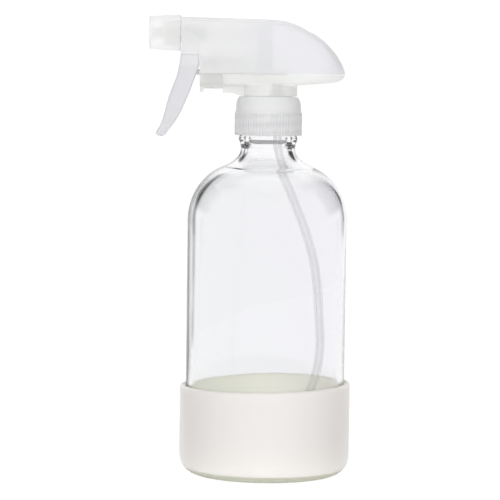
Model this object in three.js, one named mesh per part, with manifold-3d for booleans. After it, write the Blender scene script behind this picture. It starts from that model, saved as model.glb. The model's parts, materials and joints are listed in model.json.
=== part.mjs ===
// A glass spray bottle with a trigger sprayer head and a silicone base sleeve.
// Millimetres, +Z up. The origin is the centre of the sleeve's flat underside, and the nozzle
// points along -X.
import * as THREE from 'three';
import { mergeVertices } from 'three/addons/utils/BufferGeometryUtils.js';
import Module from 'manifold-3d';

const wasm = await Module();
wasm.setup();

// ---------------------------------------------------------------- driving dimensions
const GAP = 0.3; // room between neighbouring pieces
const ROUND = 36; // sides of the large round pieces

// Silicone sleeve
const SLEEVE_RADIUS = 40.2;
const SLEEVE_HEIGHT = 43;
const SLEEVE_WALL = 2.4;
const SLEEVE_FLOOR = 2.8;
const SLEEVE_CORNER = 9;

// Glass bottle, a 473 ml Boston round with a 28 mm neck finish
const GLASS_RADIUS = SLEEVE_RADIUS - SLEEVE_WALL - GAP;
const GLASS_WALL = 2.6;
const GLASS_BASE = SLEEVE_FLOOR + GAP;
const GLASS_FLOOR = GLASS_BASE + 5.5;
const HEEL_RADIUS = 7;
const SHOULDER_START = 120;
const SHOULDER_HEIGHT = 27;
const SHOULDER_CENTRE_RADIUS = 12.5;
const NECK_RADIUS = 12.8;
const NECK_BORE = 9;
const BEAD_RADIUS = 13.9;
const BEAD_Z = 158;
const FINISH_RADIUS = 12.7;
const FINISH_TOP = 171;

// Screw thread of the neck, right-handed
const THREAD_PITCH = 4.233;
const THREAD_TURNS = 1.25;
const THREAD_START = 164.2;
const GLASS_THREAD = { path: 12.9, radius: 0.85 };
const COLLAR_THREAD = { path: 14, radius: 0.8 };

// Screw collar
const COLLAR_BOTTOM = 160;
const COLLAR_TOP = 178.1;
const COLLAR_RADIUS = 15.8;
const COLLAR_BORE = 14.2;
const COLLAR_MOUTH = 11.8;
const COLLAR_LIP_Z = 174.6;
const RIB_COUNT = 60;
const RIB_DEPTH = 0.45;
const RIB_TOP = 170.5;

// Pump body
const FLANGE_RADIUS = 12.9;
const FLANGE_BOTTOM = FINISH_TOP + GAP + 1.3 + GAP;
const FLANGE_TOP = COLLAR_LIP_Z - GAP;
const BASE_RADIUS = 13.4;
const BASE_BOTTOM = COLLAR_TOP + GAP;
const BASE_TOP = 184.5;
const CAVITY_RADIUS = 9.8;
const CAVITY_TOP = 176;
const CYLINDER_Z = 189.3;
const CYLINDER_RADIUS = 7.7;
const CYLINDER_BORE = 6.2;
const CYLINDER_FRONT = -32.4;
const CYLINDER_BACK = -10;
const BARREL_Z = 207.5;
const BARREL_RADIUS = 4.2;
const BARREL_FRONT = -49;
const BARREL_BOSS = 5;
const RISER_X = -2.2;
const DUCT_RADIUS = 1.5;
const DUCT_Z = 187.5;
const INLET_X = 4.2;
const SEAT_X = -30;
const VALVE_BORE = 3.1;
const SEAL_GROOVE = { x: -46, radius: 4, width: 1.9 };
const TRAY_FRONT = -21.6;
const TRAY_TOP = 188.5;

// Trigger, which turns on a cross pin under the barrel
const PIVOT = { x: -37.2, z: 204.2 };
const PIN_RADIUS = 1.8;
const TRIGGER_HALF = 9.3;
const TRIGGER_WALL = 1.2;
const TRIGGER_WEB = 1.8;
const EAR_RADIUS = 3.4;

// Shroud
const SHROUD_WALL = 1.2;
const SHROUD_FRONT = -41.2;
const SHROUD_TAIL = 35.8;
const SHROUD_BOTTOM = TRAY_TOP + GAP;
const SHROUD_LIFT = 197.5;

// Nozzle cap
const NOZZLE_FRONT = -56.1;
const NOZZLE_BACK = -41.6;
const NOZZLE_HALF_FRONT = 7.6;
const NOZZLE_HALF_BACK = 8.4;
const NOZZLE_BORE = 5.6;

// Small parts inside the pump
const BALL_RADIUS = 2;
const BALL_Z = 182;
const PISTON_FRONT = -30.8;
const PISTON_BACK = -24.5;
const PISTON_RADIUS = 5.7;
const RING_RADIUS = 0.5;
const TUBE_RADIUS = 2.1;
const TUBE_BORE = 1.35;

// ---------------------------------------------------------------- solids from geometry
// Turns a closed three.js geometry into a solid, with its faces pointing outwards.
function solid(geometry) {
  const bare = geometry.clone();
  bare.deleteAttribute('normal');
  bare.deleteAttribute('uv');
  const merged = mergeVertices(bare, 1e-4);
  const corners = Array.from(merged.index.array);
  const kept = [];
  for (let i = 0; i < corners.length; i += 3) {
    const [a, b, c] = corners.slice(i, i + 3);
    if (a !== b && b !== c && c !== a) kept.push(a, b, c);
  }
  const vertProperties = new Float32Array(merged.attributes.position.array);
  const build = (order) =>
    new wasm.Manifold(new wasm.Mesh({ numProp: 3, vertProperties, triVerts: new Uint32Array(order) }));
  const shape = build(kept);
  return shape.volume() > 0 ? shape : build(kept.reverse());
}

// Joins the first solid with the rest.
function join(first, ...others) {
  return others.reduce((whole, other) => whole.add(other), first);
}

// Takes the others away from the first solid.
function cut(first, ...others) {
  return others.reduce((whole, other) => whole.subtract(other), first);
}

// Wraps a solid in a named mesh with its own material.
function piece(name, shape, colour, roughness, metalness = 0) {
  const { vertProperties, triVerts } = shape.getMesh();
  const geometry = new THREE.BufferGeometry();
  geometry.setAttribute('position', new THREE.BufferAttribute(vertProperties, 3));
  geometry.setIndex(new THREE.BufferAttribute(triVerts, 1));
  geometry.computeVertexNormals();
  const material = new THREE.MeshStandardMaterial({ color: colour, roughness, metalness });
  const mesh = new THREE.Mesh(geometry, material);
  mesh.name = name;
  return mesh;
}

// Spins a closed outline of [radius, height] points round the Z axis.
function latheGeometry(points, segments) {
  const outline = points.map(([radius, height]) => new THREE.Vector2(radius, height));
  return new THREE.LatheGeometry(outline, segments).rotateX(Math.PI / 2);
}

// A turned solid that stands on the Z axis, or at x.
function turned(points, segments = 24, x = 0) {
  return solid(latheGeometry(points, segments).translate(x, 0, 0));
}

// A turned solid that lies along X at height z; its outline is [radius, x] points.
function turnedAlongX(points, z, segments = 20) {
  return solid(latheGeometry(points, segments).rotateY(Math.PI / 2).translate(0, 0, z));
}

// The outline of a plain rod, for the two functions above.
function rodOutline(radius, start, end) {
  return [[0, start], [radius, start], [radius, end], [0, end]];
}

// The outline of a plain ring.
function ringOutline(inner, outer, start, end) {
  return [[inner, start], [outer, start], [outer, end], [inner, end], [inner, start]];
}

// A slab whose [x, z] outline runs across the width from -half to +half.
function slabAcrossY(points, half) {
  const shape = new THREE.Shape(points.map(([x, z]) => new THREE.Vector2(x, z)));
  const geometry = new THREE.ExtrudeGeometry(shape, { depth: 2 * half, bevelEnabled: false });
  return solid(geometry.rotateX(Math.PI / 2).translate(0, half, 0));
}

// A slab whose [x, y] outline runs up from z = bottom to z = top.
function slabUpZ(points, bottom, top) {
  const shape = new THREE.Shape(points.map(([x, y]) => new THREE.Vector2(x, y)));
  const geometry = new THREE.ExtrudeGeometry(shape, { depth: top - bottom, bevelEnabled: false });
  return solid(geometry.translate(0, 0, bottom));
}

// A slab whose [y, z] outline runs along X from start to end.
function slabAlongX(points, start, end) {
  const shape = new THREE.Shape(points.map(([y, z]) => new THREE.Vector2(y, z)));
  const geometry = new THREE.ExtrudeGeometry(shape, { depth: end - start, bevelEnabled: false });
  return solid(geometry.rotateX(Math.PI / 2).rotateZ(Math.PI / 2).translate(start, 0, 0));
}

// A plain block between two corners.
function block([x0, y0, z0], [x1, y1, z1]) {
  const geometry = new THREE.BoxGeometry(x1 - x0, y1 - y0, z1 - z0);
  return solid(geometry.translate((x0 + x1) / 2, (y0 + y1) / 2, (z0 + z1) / 2));
}

// A helix round the Z axis, as a curve.
class Helix extends THREE.Curve {
  constructor(radius, start, pitch, turns) {
    super();
    Object.assign(this, { radius, start, pitch, turns });
  }

  getPoint(t, target = new THREE.Vector3()) {
    const angle = 2 * Math.PI * this.turns * t;
    const height = this.start + this.pitch * this.turns * t;
    return target.set(this.radius * Math.cos(angle), this.radius * Math.sin(angle), height);
  }
}

// A polygon of a circle, as [x, y] points.
function circlePoints(radius, sides) {
  return Array.from({ length: sides }, (_, i) => {
    const angle = (2 * Math.PI * i) / sides;
    return [radius * Math.cos(angle), radius * Math.sin(angle)];
  });
}

// A round wire swept along a curve, with a bore if one is given.
function wireGeometry(path, radius, sides, steps, bore = 0) {
  const toVectors = (points) => points.map(([x, y]) => new THREE.Vector2(x, y));
  const shape = new THREE.Shape(toVectors(circlePoints(radius, sides)));
  if (bore > 0) shape.holes.push(new THREE.Path(toVectors(circlePoints(bore, sides - 2))));
  return new THREE.ExtrudeGeometry(shape, { steps, extrudePath: path, bevelEnabled: false });
}

// Moves each point of an open outline sideways, to the right of its direction of travel.
function offset(points, distance) {
  return points.map(([x, y], i) => {
    const [x0, y0] = points[Math.max(i - 1, 0)];
    const [x1, y1] = points[Math.min(i + 1, points.length - 1)];
    const length = Math.hypot(x1 - x0, y1 - y0);
    return [x + (distance * (y1 - y0)) / length, y - (distance * (x1 - x0)) / length];
  });
}

// A smooth curve through a few points, as count + 1 points.
function smooth(points, count) {
  const curve = new THREE.SplineCurve(points.map(([x, y]) => new THREE.Vector2(x, y)));
  return curve.getPoints(count).map((point) => [point.x, point.y]);
}

// The points of a three.js path, as [x, y].
function pathPoints(path, divisions) {
  return path.getPoints(divisions).map((point) => [point.x, point.y]);
}

// ---------------------------------------------------------------- bottle and sleeve
// Half of the sleeve's section: flat underside, round corner, soft rim, and the inside wall.
function makeSleeve() {
  const inside = SLEEVE_RADIUS - SLEEVE_WALL;
  const insideCorner = HEEL_RADIUS + GAP;
  const section = new THREE.Path();
  section.moveTo(0, 0);
  section.lineTo(SLEEVE_RADIUS - SLEEVE_CORNER, 0);
  section.absarc(SLEEVE_RADIUS - SLEEVE_CORNER, SLEEVE_CORNER, SLEEVE_CORNER, -Math.PI / 2, 0);
  const lip = SLEEVE_WALL / 2;
  section.absarc(SLEEVE_RADIUS - lip, SLEEVE_HEIGHT - lip, lip, 0, Math.PI);
  const corner = [inside - insideCorner, SLEEVE_FLOOR + insideCorner];
  section.absarc(corner[0], corner[1], insideCorner, 0, -Math.PI / 2, true);
  section.lineTo(0, SLEEVE_FLOOR);
  return turned(pathPoints(section, 3), ROUND);
}

// The wall of the bottle follows its outside at the wall's thickness, over a thick base.
function makeBottle() {
  const shoulderWidth = GLASS_RADIUS - SHOULDER_CENTRE_RADIUS;
  const shoulderEnd = (78 * Math.PI) / 180;
  const section = new THREE.Path();
  section.moveTo(0, GLASS_BASE + 1.8);
  section.quadraticCurveTo(22, GLASS_BASE + 1.8, GLASS_RADIUS - HEEL_RADIUS - 2, GLASS_BASE);
  section.absarc(GLASS_RADIUS - HEEL_RADIUS, GLASS_BASE + HEEL_RADIUS, HEEL_RADIUS, -Math.PI / 2, 0);
  section.absellipse(
    SHOULDER_CENTRE_RADIUS, SHOULDER_START, shoulderWidth, SHOULDER_HEIGHT, 0, shoulderEnd);
  section.quadraticCurveTo(NECK_RADIUS, SHOULDER_START + 27.5, NECK_RADIUS, 153);
  section.quadraticCurveTo(NECK_RADIUS + 0.2, BEAD_Z - 2, BEAD_RADIUS, BEAD_Z);
  section.quadraticCurveTo(BEAD_RADIUS, BEAD_Z + 1.6, FINISH_RADIUS, BEAD_Z + 2.4);
  section.lineTo(FINISH_RADIUS, FINISH_TOP - 0.8);
  section.lineTo(FINISH_RADIUS - 0.8, FINISH_TOP);
  section.lineTo(NECK_BORE, FINISH_TOP);
  section.lineTo(NECK_BORE, 155);
  section.quadraticCurveTo(NECK_BORE, 147.5, 15, 143.8);
  section.absellipse(
    SHOULDER_CENTRE_RADIUS, SHOULDER_START, shoulderWidth - GLASS_WALL,
    SHOULDER_HEIGHT - GLASS_WALL, shoulderEnd - 0.08, 0, true);
  const inside = GLASS_RADIUS - GLASS_WALL;
  section.absarc(inside - HEEL_RADIUS, GLASS_FLOOR + HEEL_RADIUS, HEEL_RADIUS, 0, -Math.PI / 2, true);
  section.quadraticCurveTo(15, GLASS_FLOOR + 1.2, 0, GLASS_FLOOR + 1.2);
  const body = turned(pathPoints(section, 3), ROUND);
  return body.add(solid(threadGeometry(GLASS_THREAD, THREAD_START)));
}

// One rounded thread ridge.
function threadGeometry({ path, radius }, start) {
  return wireGeometry(new Helix(path, start, THREAD_PITCH, THREAD_TURNS), radius, 6, 26);
}

// ---------------------------------------------------------------- collar and neck seal
// A ribbed grip below a smooth shoulder, with a lip that holds the pump body down.
function makeCollar() {
  const grip = Array.from({ length: 2 * RIB_COUNT }, (_, i) => {
    const angle = (Math.PI * i) / RIB_COUNT;
    const radius = COLLAR_RADIUS - (i % 2) * RIB_DEPTH;
    return [radius * Math.cos(angle), radius * Math.sin(angle)];
  });
  const smoothRadius = COLLAR_RADIUS - RIB_DEPTH;
  const shoulder = new THREE.Path();
  shoulder.moveTo(0, RIB_TOP - 1);
  shoulder.lineTo(smoothRadius, RIB_TOP - 1);
  shoulder.lineTo(smoothRadius - 0.1, 173.5);
  shoulder.quadraticCurveTo(smoothRadius - 0.3, 176.6, 13.9, COLLAR_TOP);
  shoulder.lineTo(0, COLLAR_TOP);
  const outside = slabUpZ(grip, COLLAR_BOTTOM, RIB_TOP).add(turned(pathPoints(shoulder, 3), ROUND));
  const bore = turned(rodOutline(COLLAR_BORE, COLLAR_BOTTOM - 1, COLLAR_LIP_Z), ROUND);
  const mouth = turned(rodOutline(COLLAR_MOUTH, COLLAR_LIP_Z - 1, COLLAR_TOP + 1), ROUND);
  const thread = solid(threadGeometry(COLLAR_THREAD, THREAD_START - THREAD_PITCH / 2));
  return join(cut(outside, bore, mouth), thread);
}

function makeNeckGasket() {
  const bottom = FINISH_TOP + GAP;
  return turned(ringOutline(NECK_BORE + 0.5, FLANGE_RADIUS, bottom, FLANGE_BOTTOM - GAP), 24);
}

// ---------------------------------------------------------------- pump body
// Half-width of the head seen from above, at a place along its length.
const PLAN = [[SHROUD_FRONT, 11], [-32, 11.3], [-15, 12.7], [2, 13.4], [16, 12.9], [26, 10.6]];

// The head's outline seen from above, inset by a distance.
function planOutline(inset, front) {
  const tail = new THREE.Path();
  tail.moveTo(26, 10.6);
  tail.bezierCurveTo(32.5, 8.2, SHROUD_TAIL, 4.2, SHROUD_TAIL, 0);
  const side = [...smooth(PLAN, 12), ...pathPoints(tail, 6).slice(1)];
  const upper = offset(side, inset).map(([x, y]) => [Math.max(x, front), Math.max(y, 0)]);
  const lower = upper.slice(0, -1).reverse().map(([x, y]) => [x, -y]);
  return [...upper.filter(([x], i) => i === 0 || x > front), ...lower.filter(([x]) => x > front),
    [front, -upper[0][1]]];
}

// The open tray under the shroud, which closes the head from below.
function makeTray() {
  const side = new THREE.Path();
  side.moveTo(TRAY_FRONT, TRAY_TOP);
  side.lineTo(TRAY_FRONT, 182.6);
  side.lineTo(12, 182.6);
  side.lineTo(14.1, 183.6);
  side.lineTo(28.9, 184.7);
  side.quadraticCurveTo(34.6, 185.2, SHROUD_TAIL, TRAY_TOP);
  const outside = pathPoints(side, 5);
  const inside = offset(outside, -SHROUD_WALL).map(([x, z], i) => (i === 0 ? [x, z + 2] : [x, z]));
  inside.push([SHROUD_TAIL - SHROUD_WALL, TRAY_TOP + 2]);
  const shell = slabAcrossY(outside, 15).intersect(slabUpZ(planOutline(0, TRAY_FRONT), 180, 190));
  const hollow = slabAcrossY(inside, 14).intersect(
    slabUpZ(planOutline(SHROUD_WALL, TRAY_FRONT + SHROUD_WALL), 180, 192));
  return shell.subtract(hollow);
}

// The moulding that holds every working part: base, cylinder, riser, barrel and trigger pin.
function makePumpBody() {
  const base = turned([
    [0, FLANGE_BOTTOM], [FLANGE_RADIUS, FLANGE_BOTTOM], [FLANGE_RADIUS, FLANGE_TOP],
    [COLLAR_MOUTH - GAP, FLANGE_TOP], [COLLAR_MOUTH - GAP, BASE_BOTTOM],
    [BASE_RADIUS, BASE_BOTTOM], [BASE_RADIUS, BASE_TOP], [0, BASE_TOP],
  ], 32);
  const cylinder = turnedAlongX(rodOutline(CYLINDER_RADIUS, CYLINDER_FRONT, -6.5), CYLINDER_Z, 28);
  const foot = block([CYLINDER_FRONT, -3, 179.8], [CYLINDER_FRONT + 1.9, 3, 183]);
  const gusset = slabAcrossY([
    [TRAY_FRONT, 184], [TRAY_FRONT, 179.7], [-17.6, 179.7], [-13, BASE_BOTTOM], [-8, BASE_BOTTOM],
    [-8, 184]], 6.5);
  const inletTower = turned(rodOutline(4.6, 180, 190.2), 20, INLET_X);
  const riser = turned(rodOutline(3.8, 183, BARREL_Z + BARREL_RADIUS - 0.4), 20, RISER_X);
  const bridge = block([-9, -3.4, 184], [INLET_X, 3.4, 190.2]);
  const barrel = turnedAlongX([
    [0, BARREL_FRONT], [BARREL_BOSS, BARREL_FRONT], [BARREL_BOSS, -40.5], [BARREL_RADIUS, -39.5],
    [BARREL_RADIUS, 1.6], [0, 1.6]], BARREL_Z, 24);
  const rib = block([-27, -0.8, 195], [-3, 0.8, 204.5]);
  const pinGeometry = new THREE.CylinderGeometry(PIN_RADIUS, PIN_RADIUS, 2 * TRIGGER_HALF, 16);
  const pin = solid(pinGeometry.translate(PIVOT.x, 0, PIVOT.z));
  const whole = join(base, makeTray(), cylinder, foot, gusset, inletTower, riser, bridge, barrel,
    rib, pin);
  return cut(whole, ...pumpPassages());
}

// The hollows of the pump body, from the neck to the nozzle.
function pumpPassages() {
  const cavity = turned(rodOutline(CAVITY_RADIUS, FLANGE_BOTTOM - 1, CAVITY_TOP), 32);
  const inlet = turned([
    [0, CAVITY_TOP - 1], [3.5, CAVITY_TOP - 1], [3.5, 180.8], [2.5, 180.8], [2.5, 185.5],
    [DUCT_RADIUS, 185.5], [DUCT_RADIUS, DUCT_Z], [0, DUCT_Z]], 16, INLET_X);
  const duct = turnedAlongX(rodOutline(DUCT_RADIUS - 0.1, CYLINDER_BACK - 1, INLET_X + 0.8), DUCT_Z, 12);
  const riserBore = turned(rodOutline(DUCT_RADIUS, DUCT_Z, BARREL_Z), 12, RISER_X);
  const barrelBore = turnedAlongX([
    [0, BARREL_FRONT - 1], [VALVE_BORE, BARREL_FRONT - 1], [VALVE_BORE, SEAT_X], [1.6, SEAT_X],
    [1.6, RISER_X + 1], [0, RISER_X + 1]], BARREL_Z, 20);
  const bore = turnedAlongX(rodOutline(CYLINDER_BORE, CYLINDER_FRONT - 1, CYLINDER_BACK), CYLINDER_Z, 24);
  const { x, radius, width } = SEAL_GROOVE;
  const groove = turnedAlongX(ringOutline(radius, 7, x - width / 2, x + width / 2), BARREL_Z, 20);
  return [cavity, inlet, duct, riserBore, barrelBore, bore, groove];
}

// ---------------------------------------------------------------- inlet side
// The plug that holds the dip tube and carries the seat of the inlet ball.
function makeTubeRetainer() {
  const disc = turned(rodOutline(CAVITY_RADIUS - 0.4, FLANGE_BOTTOM, CAVITY_TOP - GAP), 28);
  const socket = turned(rodOutline(3.9, 162, FLANGE_BOTTOM + 1), 16, INLET_X);
  const spigot = turned(rodOutline(3.2, CAVITY_TOP - 1, 180.5), 16, INLET_X);
  const tubeSeat = turned(rodOutline(TUBE_RADIUS + GAP, 161, 174), 16, INLET_X);
  const throat = turned(rodOutline(1.4, 173, 182), 12, INLET_X);
  return cut(join(disc, socket, spigot), tubeSeat, throat);
}

// The dip tube bends across the bottle and ends just above the floor.
const TUBE_ROUTE = [
  [INLET_X, 173.6], [INLET_X, 168], [4.35, 162], [4.9, 154], [5.9, 147.5], [7.5, 141.5], [12, 130],
  [17.9, 114.6],
  [21.9, 101], [24, 87], [25, 74], [25.7, 62], [24.6, 50], [21.3, 39.4], [17, 26.5], [11.5, 13],
];

function makeDipTube() {
  const route = new THREE.CatmullRomCurve3(TUBE_ROUTE.map(([x, z]) => new THREE.Vector3(x, 0, z)));
  return solid(wireGeometry(route, TUBE_RADIUS, 8, 30, TUBE_BORE));
}

function makeInletBall() {
  return solid(new THREE.SphereGeometry(BALL_RADIUS, 12, 8).translate(INLET_X, 0, BALL_Z));
}

// ---------------------------------------------------------------- piston
const PISTON_SEAL_X = -25.7;
const VENT_SEAL_X = -29.2;
const SPRING_POCKET = -27.6;

// A grooved head, a spring pocket behind it, and a rod with a ball end for the trigger.
function makePiston() {
  const headEnd = new THREE.SphereGeometry(1.8, 12, 8).translate(-38.8, 0, CYLINDER_Z);
  const head = turnedAlongX(rodOutline(PISTON_RADIUS, PISTON_FRONT, PISTON_BACK), CYLINDER_Z, 24);
  const rod = turnedAlongX(rodOutline(1.3, -38.8, PISTON_FRONT + 1), CYLINDER_Z, 12);
  const pocket = turnedAlongX(rodOutline(3.4, SPRING_POCKET, PISTON_BACK + 1), CYLINDER_Z, 16);
  const grooves = [PISTON_SEAL_X, VENT_SEAL_X].map((x) =>
    turnedAlongX(ringOutline(4.6, 7, x - 0.8, x + 0.8), CYLINDER_Z, 24));
  return cut(join(head, rod, solid(headEnd)), pocket, ...grooves);
}

// A rubber ring round an axis along X.
function makeRing(x, z, path, radius) {
  const geometry = new THREE.TorusGeometry(path, radius, 6, 20);
  return solid(geometry.rotateY(Math.PI / 2).translate(x, 0, z));
}

// A coil spring that lies along X between two places.
function makeSpring(start, end, z, radius, wire, turns, sides, perTurn) {
  const pitch = (end - start - 2 * wire) / turns;
  const helix = new Helix(radius, start + wire, pitch, turns);
  const geometry = wireGeometry(helix, wire, sides, turns * perTurn);
  return solid(geometry.rotateY(Math.PI / 2).translate(0, 0, z));
}

// ---------------------------------------------------------------- outlet side
function makeDischargeValve() {
  const outline = [[0, -34.6], [1.1, -34.6], [1.1, -31.7], [2.7, -31.7], [2.7, SEAT_X - GAP],
    [0, SEAT_X - GAP]];
  return turnedAlongX(outline, BARREL_Z, 16);
}

// The spinner swirls the liquid through three flutes before it reaches the orifice.
function makeBarrelSpinner() {
  const plug = turnedAlongX(rodOutline(VALVE_BORE - GAP, BARREL_FRONT + 0.3, -37.3), BARREL_Z, 18);
  const flutes = [0, 1, 2].map((i) => {
    const flute = new THREE.BoxGeometry(14, 1, 1.4).translate(-43, 0, VALVE_BORE - GAP);
    flute.rotateX((2 * Math.PI * i) / 3).translate(0, 0, BARREL_Z);
    return solid(flute);
  });
  return cut(plug, ...flutes);
}

// A square outline with cut corners, as [y, z] points round the barrel's height.
function nozzleOutline(half, corner) {
  const flat = half - corner;
  const points = [[half, -flat], [half, flat], [flat, half], [-flat, half], [-half, flat],
    [-half, -flat], [-flat, -half], [flat, -half]];
  return points.map(([y, z]) => [y, z + BARREL_Z]);
}

// The nozzle cap is a square block that narrows to the front and turns on the barrel.
function makeNozzleCap() {
  const bodyShape = slabAlongX(nozzleOutline(NOZZLE_HALF_BACK, 2.6), NOZZLE_FRONT, NOZZLE_BACK);
  const drop = NOZZLE_HALF_BACK - NOZZLE_HALF_FRONT;
  const taper = [[NOZZLE_FRONT, BARREL_Z - NOZZLE_HALF_BACK + drop],
    [NOZZLE_BACK, BARREL_Z - NOZZLE_HALF_BACK], [NOZZLE_BACK, BARREL_Z + NOZZLE_HALF_BACK],
    [NOZZLE_FRONT, BARREL_Z + NOZZLE_HALF_BACK - drop]];
  const sides = taper.map(([x, z]) => [x, z - BARREL_Z]);
  const bore = turnedAlongX(rodOutline(NOZZLE_BORE, -50, NOZZLE_BACK + 1), BARREL_Z, 24);
  const recess = turnedAlongX([[0, NOZZLE_FRONT - 1], [4.4, NOZZLE_FRONT - 1],
    [4, NOZZLE_FRONT + 1.6], [0, NOZZLE_FRONT + 1.6]], BARREL_Z, 20);
  const insertSeat = turnedAlongX(rodOutline(2.4, NOZZLE_FRONT, -49), BARREL_Z, 16);
  const tapered = bodyShape.intersect(slabAcrossY(taper, 12)).intersect(slabUpZ(sides, 190, 225));
  return cut(tapered, bore, recess, insertSeat);
}

// The insert has a swirl chamber at the back and the spray orifice at the front.
function makeNozzleInsert() {
  const outline = [[0.35, -54.2], [2.1, -54.2], [2.1, -50], [1.2, -50], [1.2, -52.6],
    [0.35, -53.2], [0.35, -54.2]];
  return turnedAlongX(outline, BARREL_Z, 12);
}

// ---------------------------------------------------------------- trigger
const TRIGGER_FRONT = [[-41.2, 197.8], [-42.9, 187.9], [-46.6, 178], [-49.7, 166.6], [-52.9, 160.4]];
const TRIGGER_REAR = [[-48.8, 159.5], [-42.7, 168.1], [-38.1, 178.2], [-34.8, 187], [-32.8, 193]];

// Half of the trigger's width narrows towards its tip.
function triggerWidth(inset) {
  const half = TRIGGER_HALF - inset;
  const tip = 6.6 - inset;
  return [[-tip, 158], [tip, 158], [half, 186], [half, 210], [-half, 210], [-half, 186]];
}

// A channel whose web faces the fingers, with two ears that turn on the pin.
function makeTrigger() {
  const ear = new THREE.Path();
  ear.absarc(PIVOT.x, PIVOT.z, EAR_RADIUS, 0, Math.PI);
  const front = smooth(TRIGGER_FRONT, 10);
  const outline = [...pathPoints(ear, 8), ...front, ...smooth(TRIGGER_REAR, 8)];
  const outside = slabAcrossY(outline, 12).intersect(slabAlongX(triggerWidth(0), -56, -30));
  const web = smooth(TRIGGER_FRONT, 10).slice(0, 9).map(([x, z]) => [x + TRIGGER_WEB, z]);
  const last = web[web.length - 1];
  const pocketOutline = [[-30, 212], [-56, 212], [-56, 199.2], [web[0][0], 199.2], ...web,
    [-30, last[1]]];
  const pocket = slabAcrossY(pocketOutline, 12).intersect(
    slabAlongX(triggerWidth(TRIGGER_WALL), -57, -29));
  const holeGeometry = new THREE.CylinderGeometry(PIN_RADIUS + GAP, PIN_RADIUS + GAP, 24, 16);
  return cut(outside, pocket, solid(holeGeometry.translate(PIVOT.x, 0, PIVOT.z)));
}

// ---------------------------------------------------------------- shroud
// The long cover, nearly flat on top and rounded down to its tail; open below and in front.
function makeShroud() {
  const back = [[3, 214], [11.3, 212.4], [17.4, 209.5], [23.5, 206.1], [28.8, 201.3], [32.3, 197],
    [34.9, 192.2], [SHROUD_TAIL, SHROUD_BOTTOM]];
  const top = [[SHROUD_FRONT, 215], [-20, 214.6], ...smooth(back, 14)];
  const under = [[CYLINDER_FRONT, SHROUD_BOTTOM], [CYLINDER_FRONT, SHROUD_LIFT],
    [SHROUD_FRONT, SHROUD_LIFT]];
  const outside = slabAcrossY([...top, ...under], 15).intersect(
    slabUpZ(planOutline(0, SHROUD_FRONT), 180, 220));
  const ceiling = offset(top, SHROUD_WALL);
  const inner = [[SHROUD_FRONT - 2, ceiling[0][1]], ...ceiling.slice(1),
    [SHROUD_TAIL - SHROUD_WALL, SHROUD_BOTTOM - 2], [SHROUD_FRONT - 2, SHROUD_BOTTOM - 2]];
  const plan = planOutline(SHROUD_WALL, SHROUD_FRONT);
  const open = plan.map(([x, y]) => (x < SHROUD_FRONT + 0.5 ? [x - 2, y] : [x, y]));
  const inside = slabAcrossY(inner, 14).intersect(slabUpZ(open, 180, 222));
  return outside.subtract(inside);
}

// ---------------------------------------------------------------- assembly
const bottleGroup = new THREE.Group();
bottleGroup.add(
  piece('bottle', makeBottle(), 0xe9eef0, 0.04),
  piece('sleeve', makeSleeve(), 0xf1efed, 0.62),
);

const headGroup = new THREE.Group();
headGroup.add(
  piece('collar', makeCollar(), 0xe8e8ea, 0.35),
  piece('neck_gasket', makeNeckGasket(), 0xf2f2ee, 0.7),
  piece('pump_body', makePumpBody(), 0xe6e7e6, 0.38),
  piece('tube_retainer', makeTubeRetainer(), 0xeef0ee, 0.4),
  piece('dip_tube', makeDipTube(), 0xeaedee, 0.3),
  piece('inlet_ball', makeInletBall(), 0xd9dde0, 0.1),
  piece('piston', makePiston(), 0xf3f3f1, 0.4),
  piece('piston_seal', makeRing(PISTON_SEAL_X, CYLINDER_Z, 5.4, RING_RADIUS), 0xd8d8d4, 0.7),
  piece('vent_seal', makeRing(VENT_SEAL_X, CYLINDER_Z, 5.4, RING_RADIUS), 0xd8d8d4, 0.7),
  piece('piston_spring',
    makeSpring(SPRING_POCKET + GAP, CYLINDER_BACK - GAP, CYLINDER_Z, 2.6, 0.4, 7, 5, 10),
    0xb9bcc0, 0.25, 1),
  piece('discharge_valve', makeDischargeValve(), 0xf0f0ee, 0.4),
  piece('discharge_spring', makeSpring(-37, -32, BARREL_Z, 1.9, 0.25, 4, 5, 10), 0xb9bcc0, 0.25, 1),
  piece('barrel_spinner', makeBarrelSpinner(), 0xf3f3f1, 0.4),
  piece('nozzle_cap', makeNozzleCap(), 0xeeeeef, 0.33),
  piece('nozzle_insert', makeNozzleInsert(), 0xf5f5f3, 0.4),
  piece('nozzle_seal', makeRing(SEAL_GROOVE.x, BARREL_Z, 4.85, 0.5), 0xd8d8d4, 0.7),
  piece('trigger', makeTrigger(), 0xebebee, 0.36),
  piece('shroud', makeShroud(), 0xe9e9ec, 0.36),
);

const group = new THREE.Group();
group.add(bottleGroup, headGroup);
export default group;
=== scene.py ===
# %% [markdown]
# # A glass spray bottle with a trigger head
# A round-shouldered bottle of clear glass stands in a soft silicone sleeve. A milky plastic sprayer
# is screwed on its neck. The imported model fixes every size, place and moving body; the cells below
# make the fine surfaces and the finishes, one piece at a time, from the base up.

# %% Load the frame
import json
import math

import bmesh
import bpy
from mathutils import Matrix, Vector, noise


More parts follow.
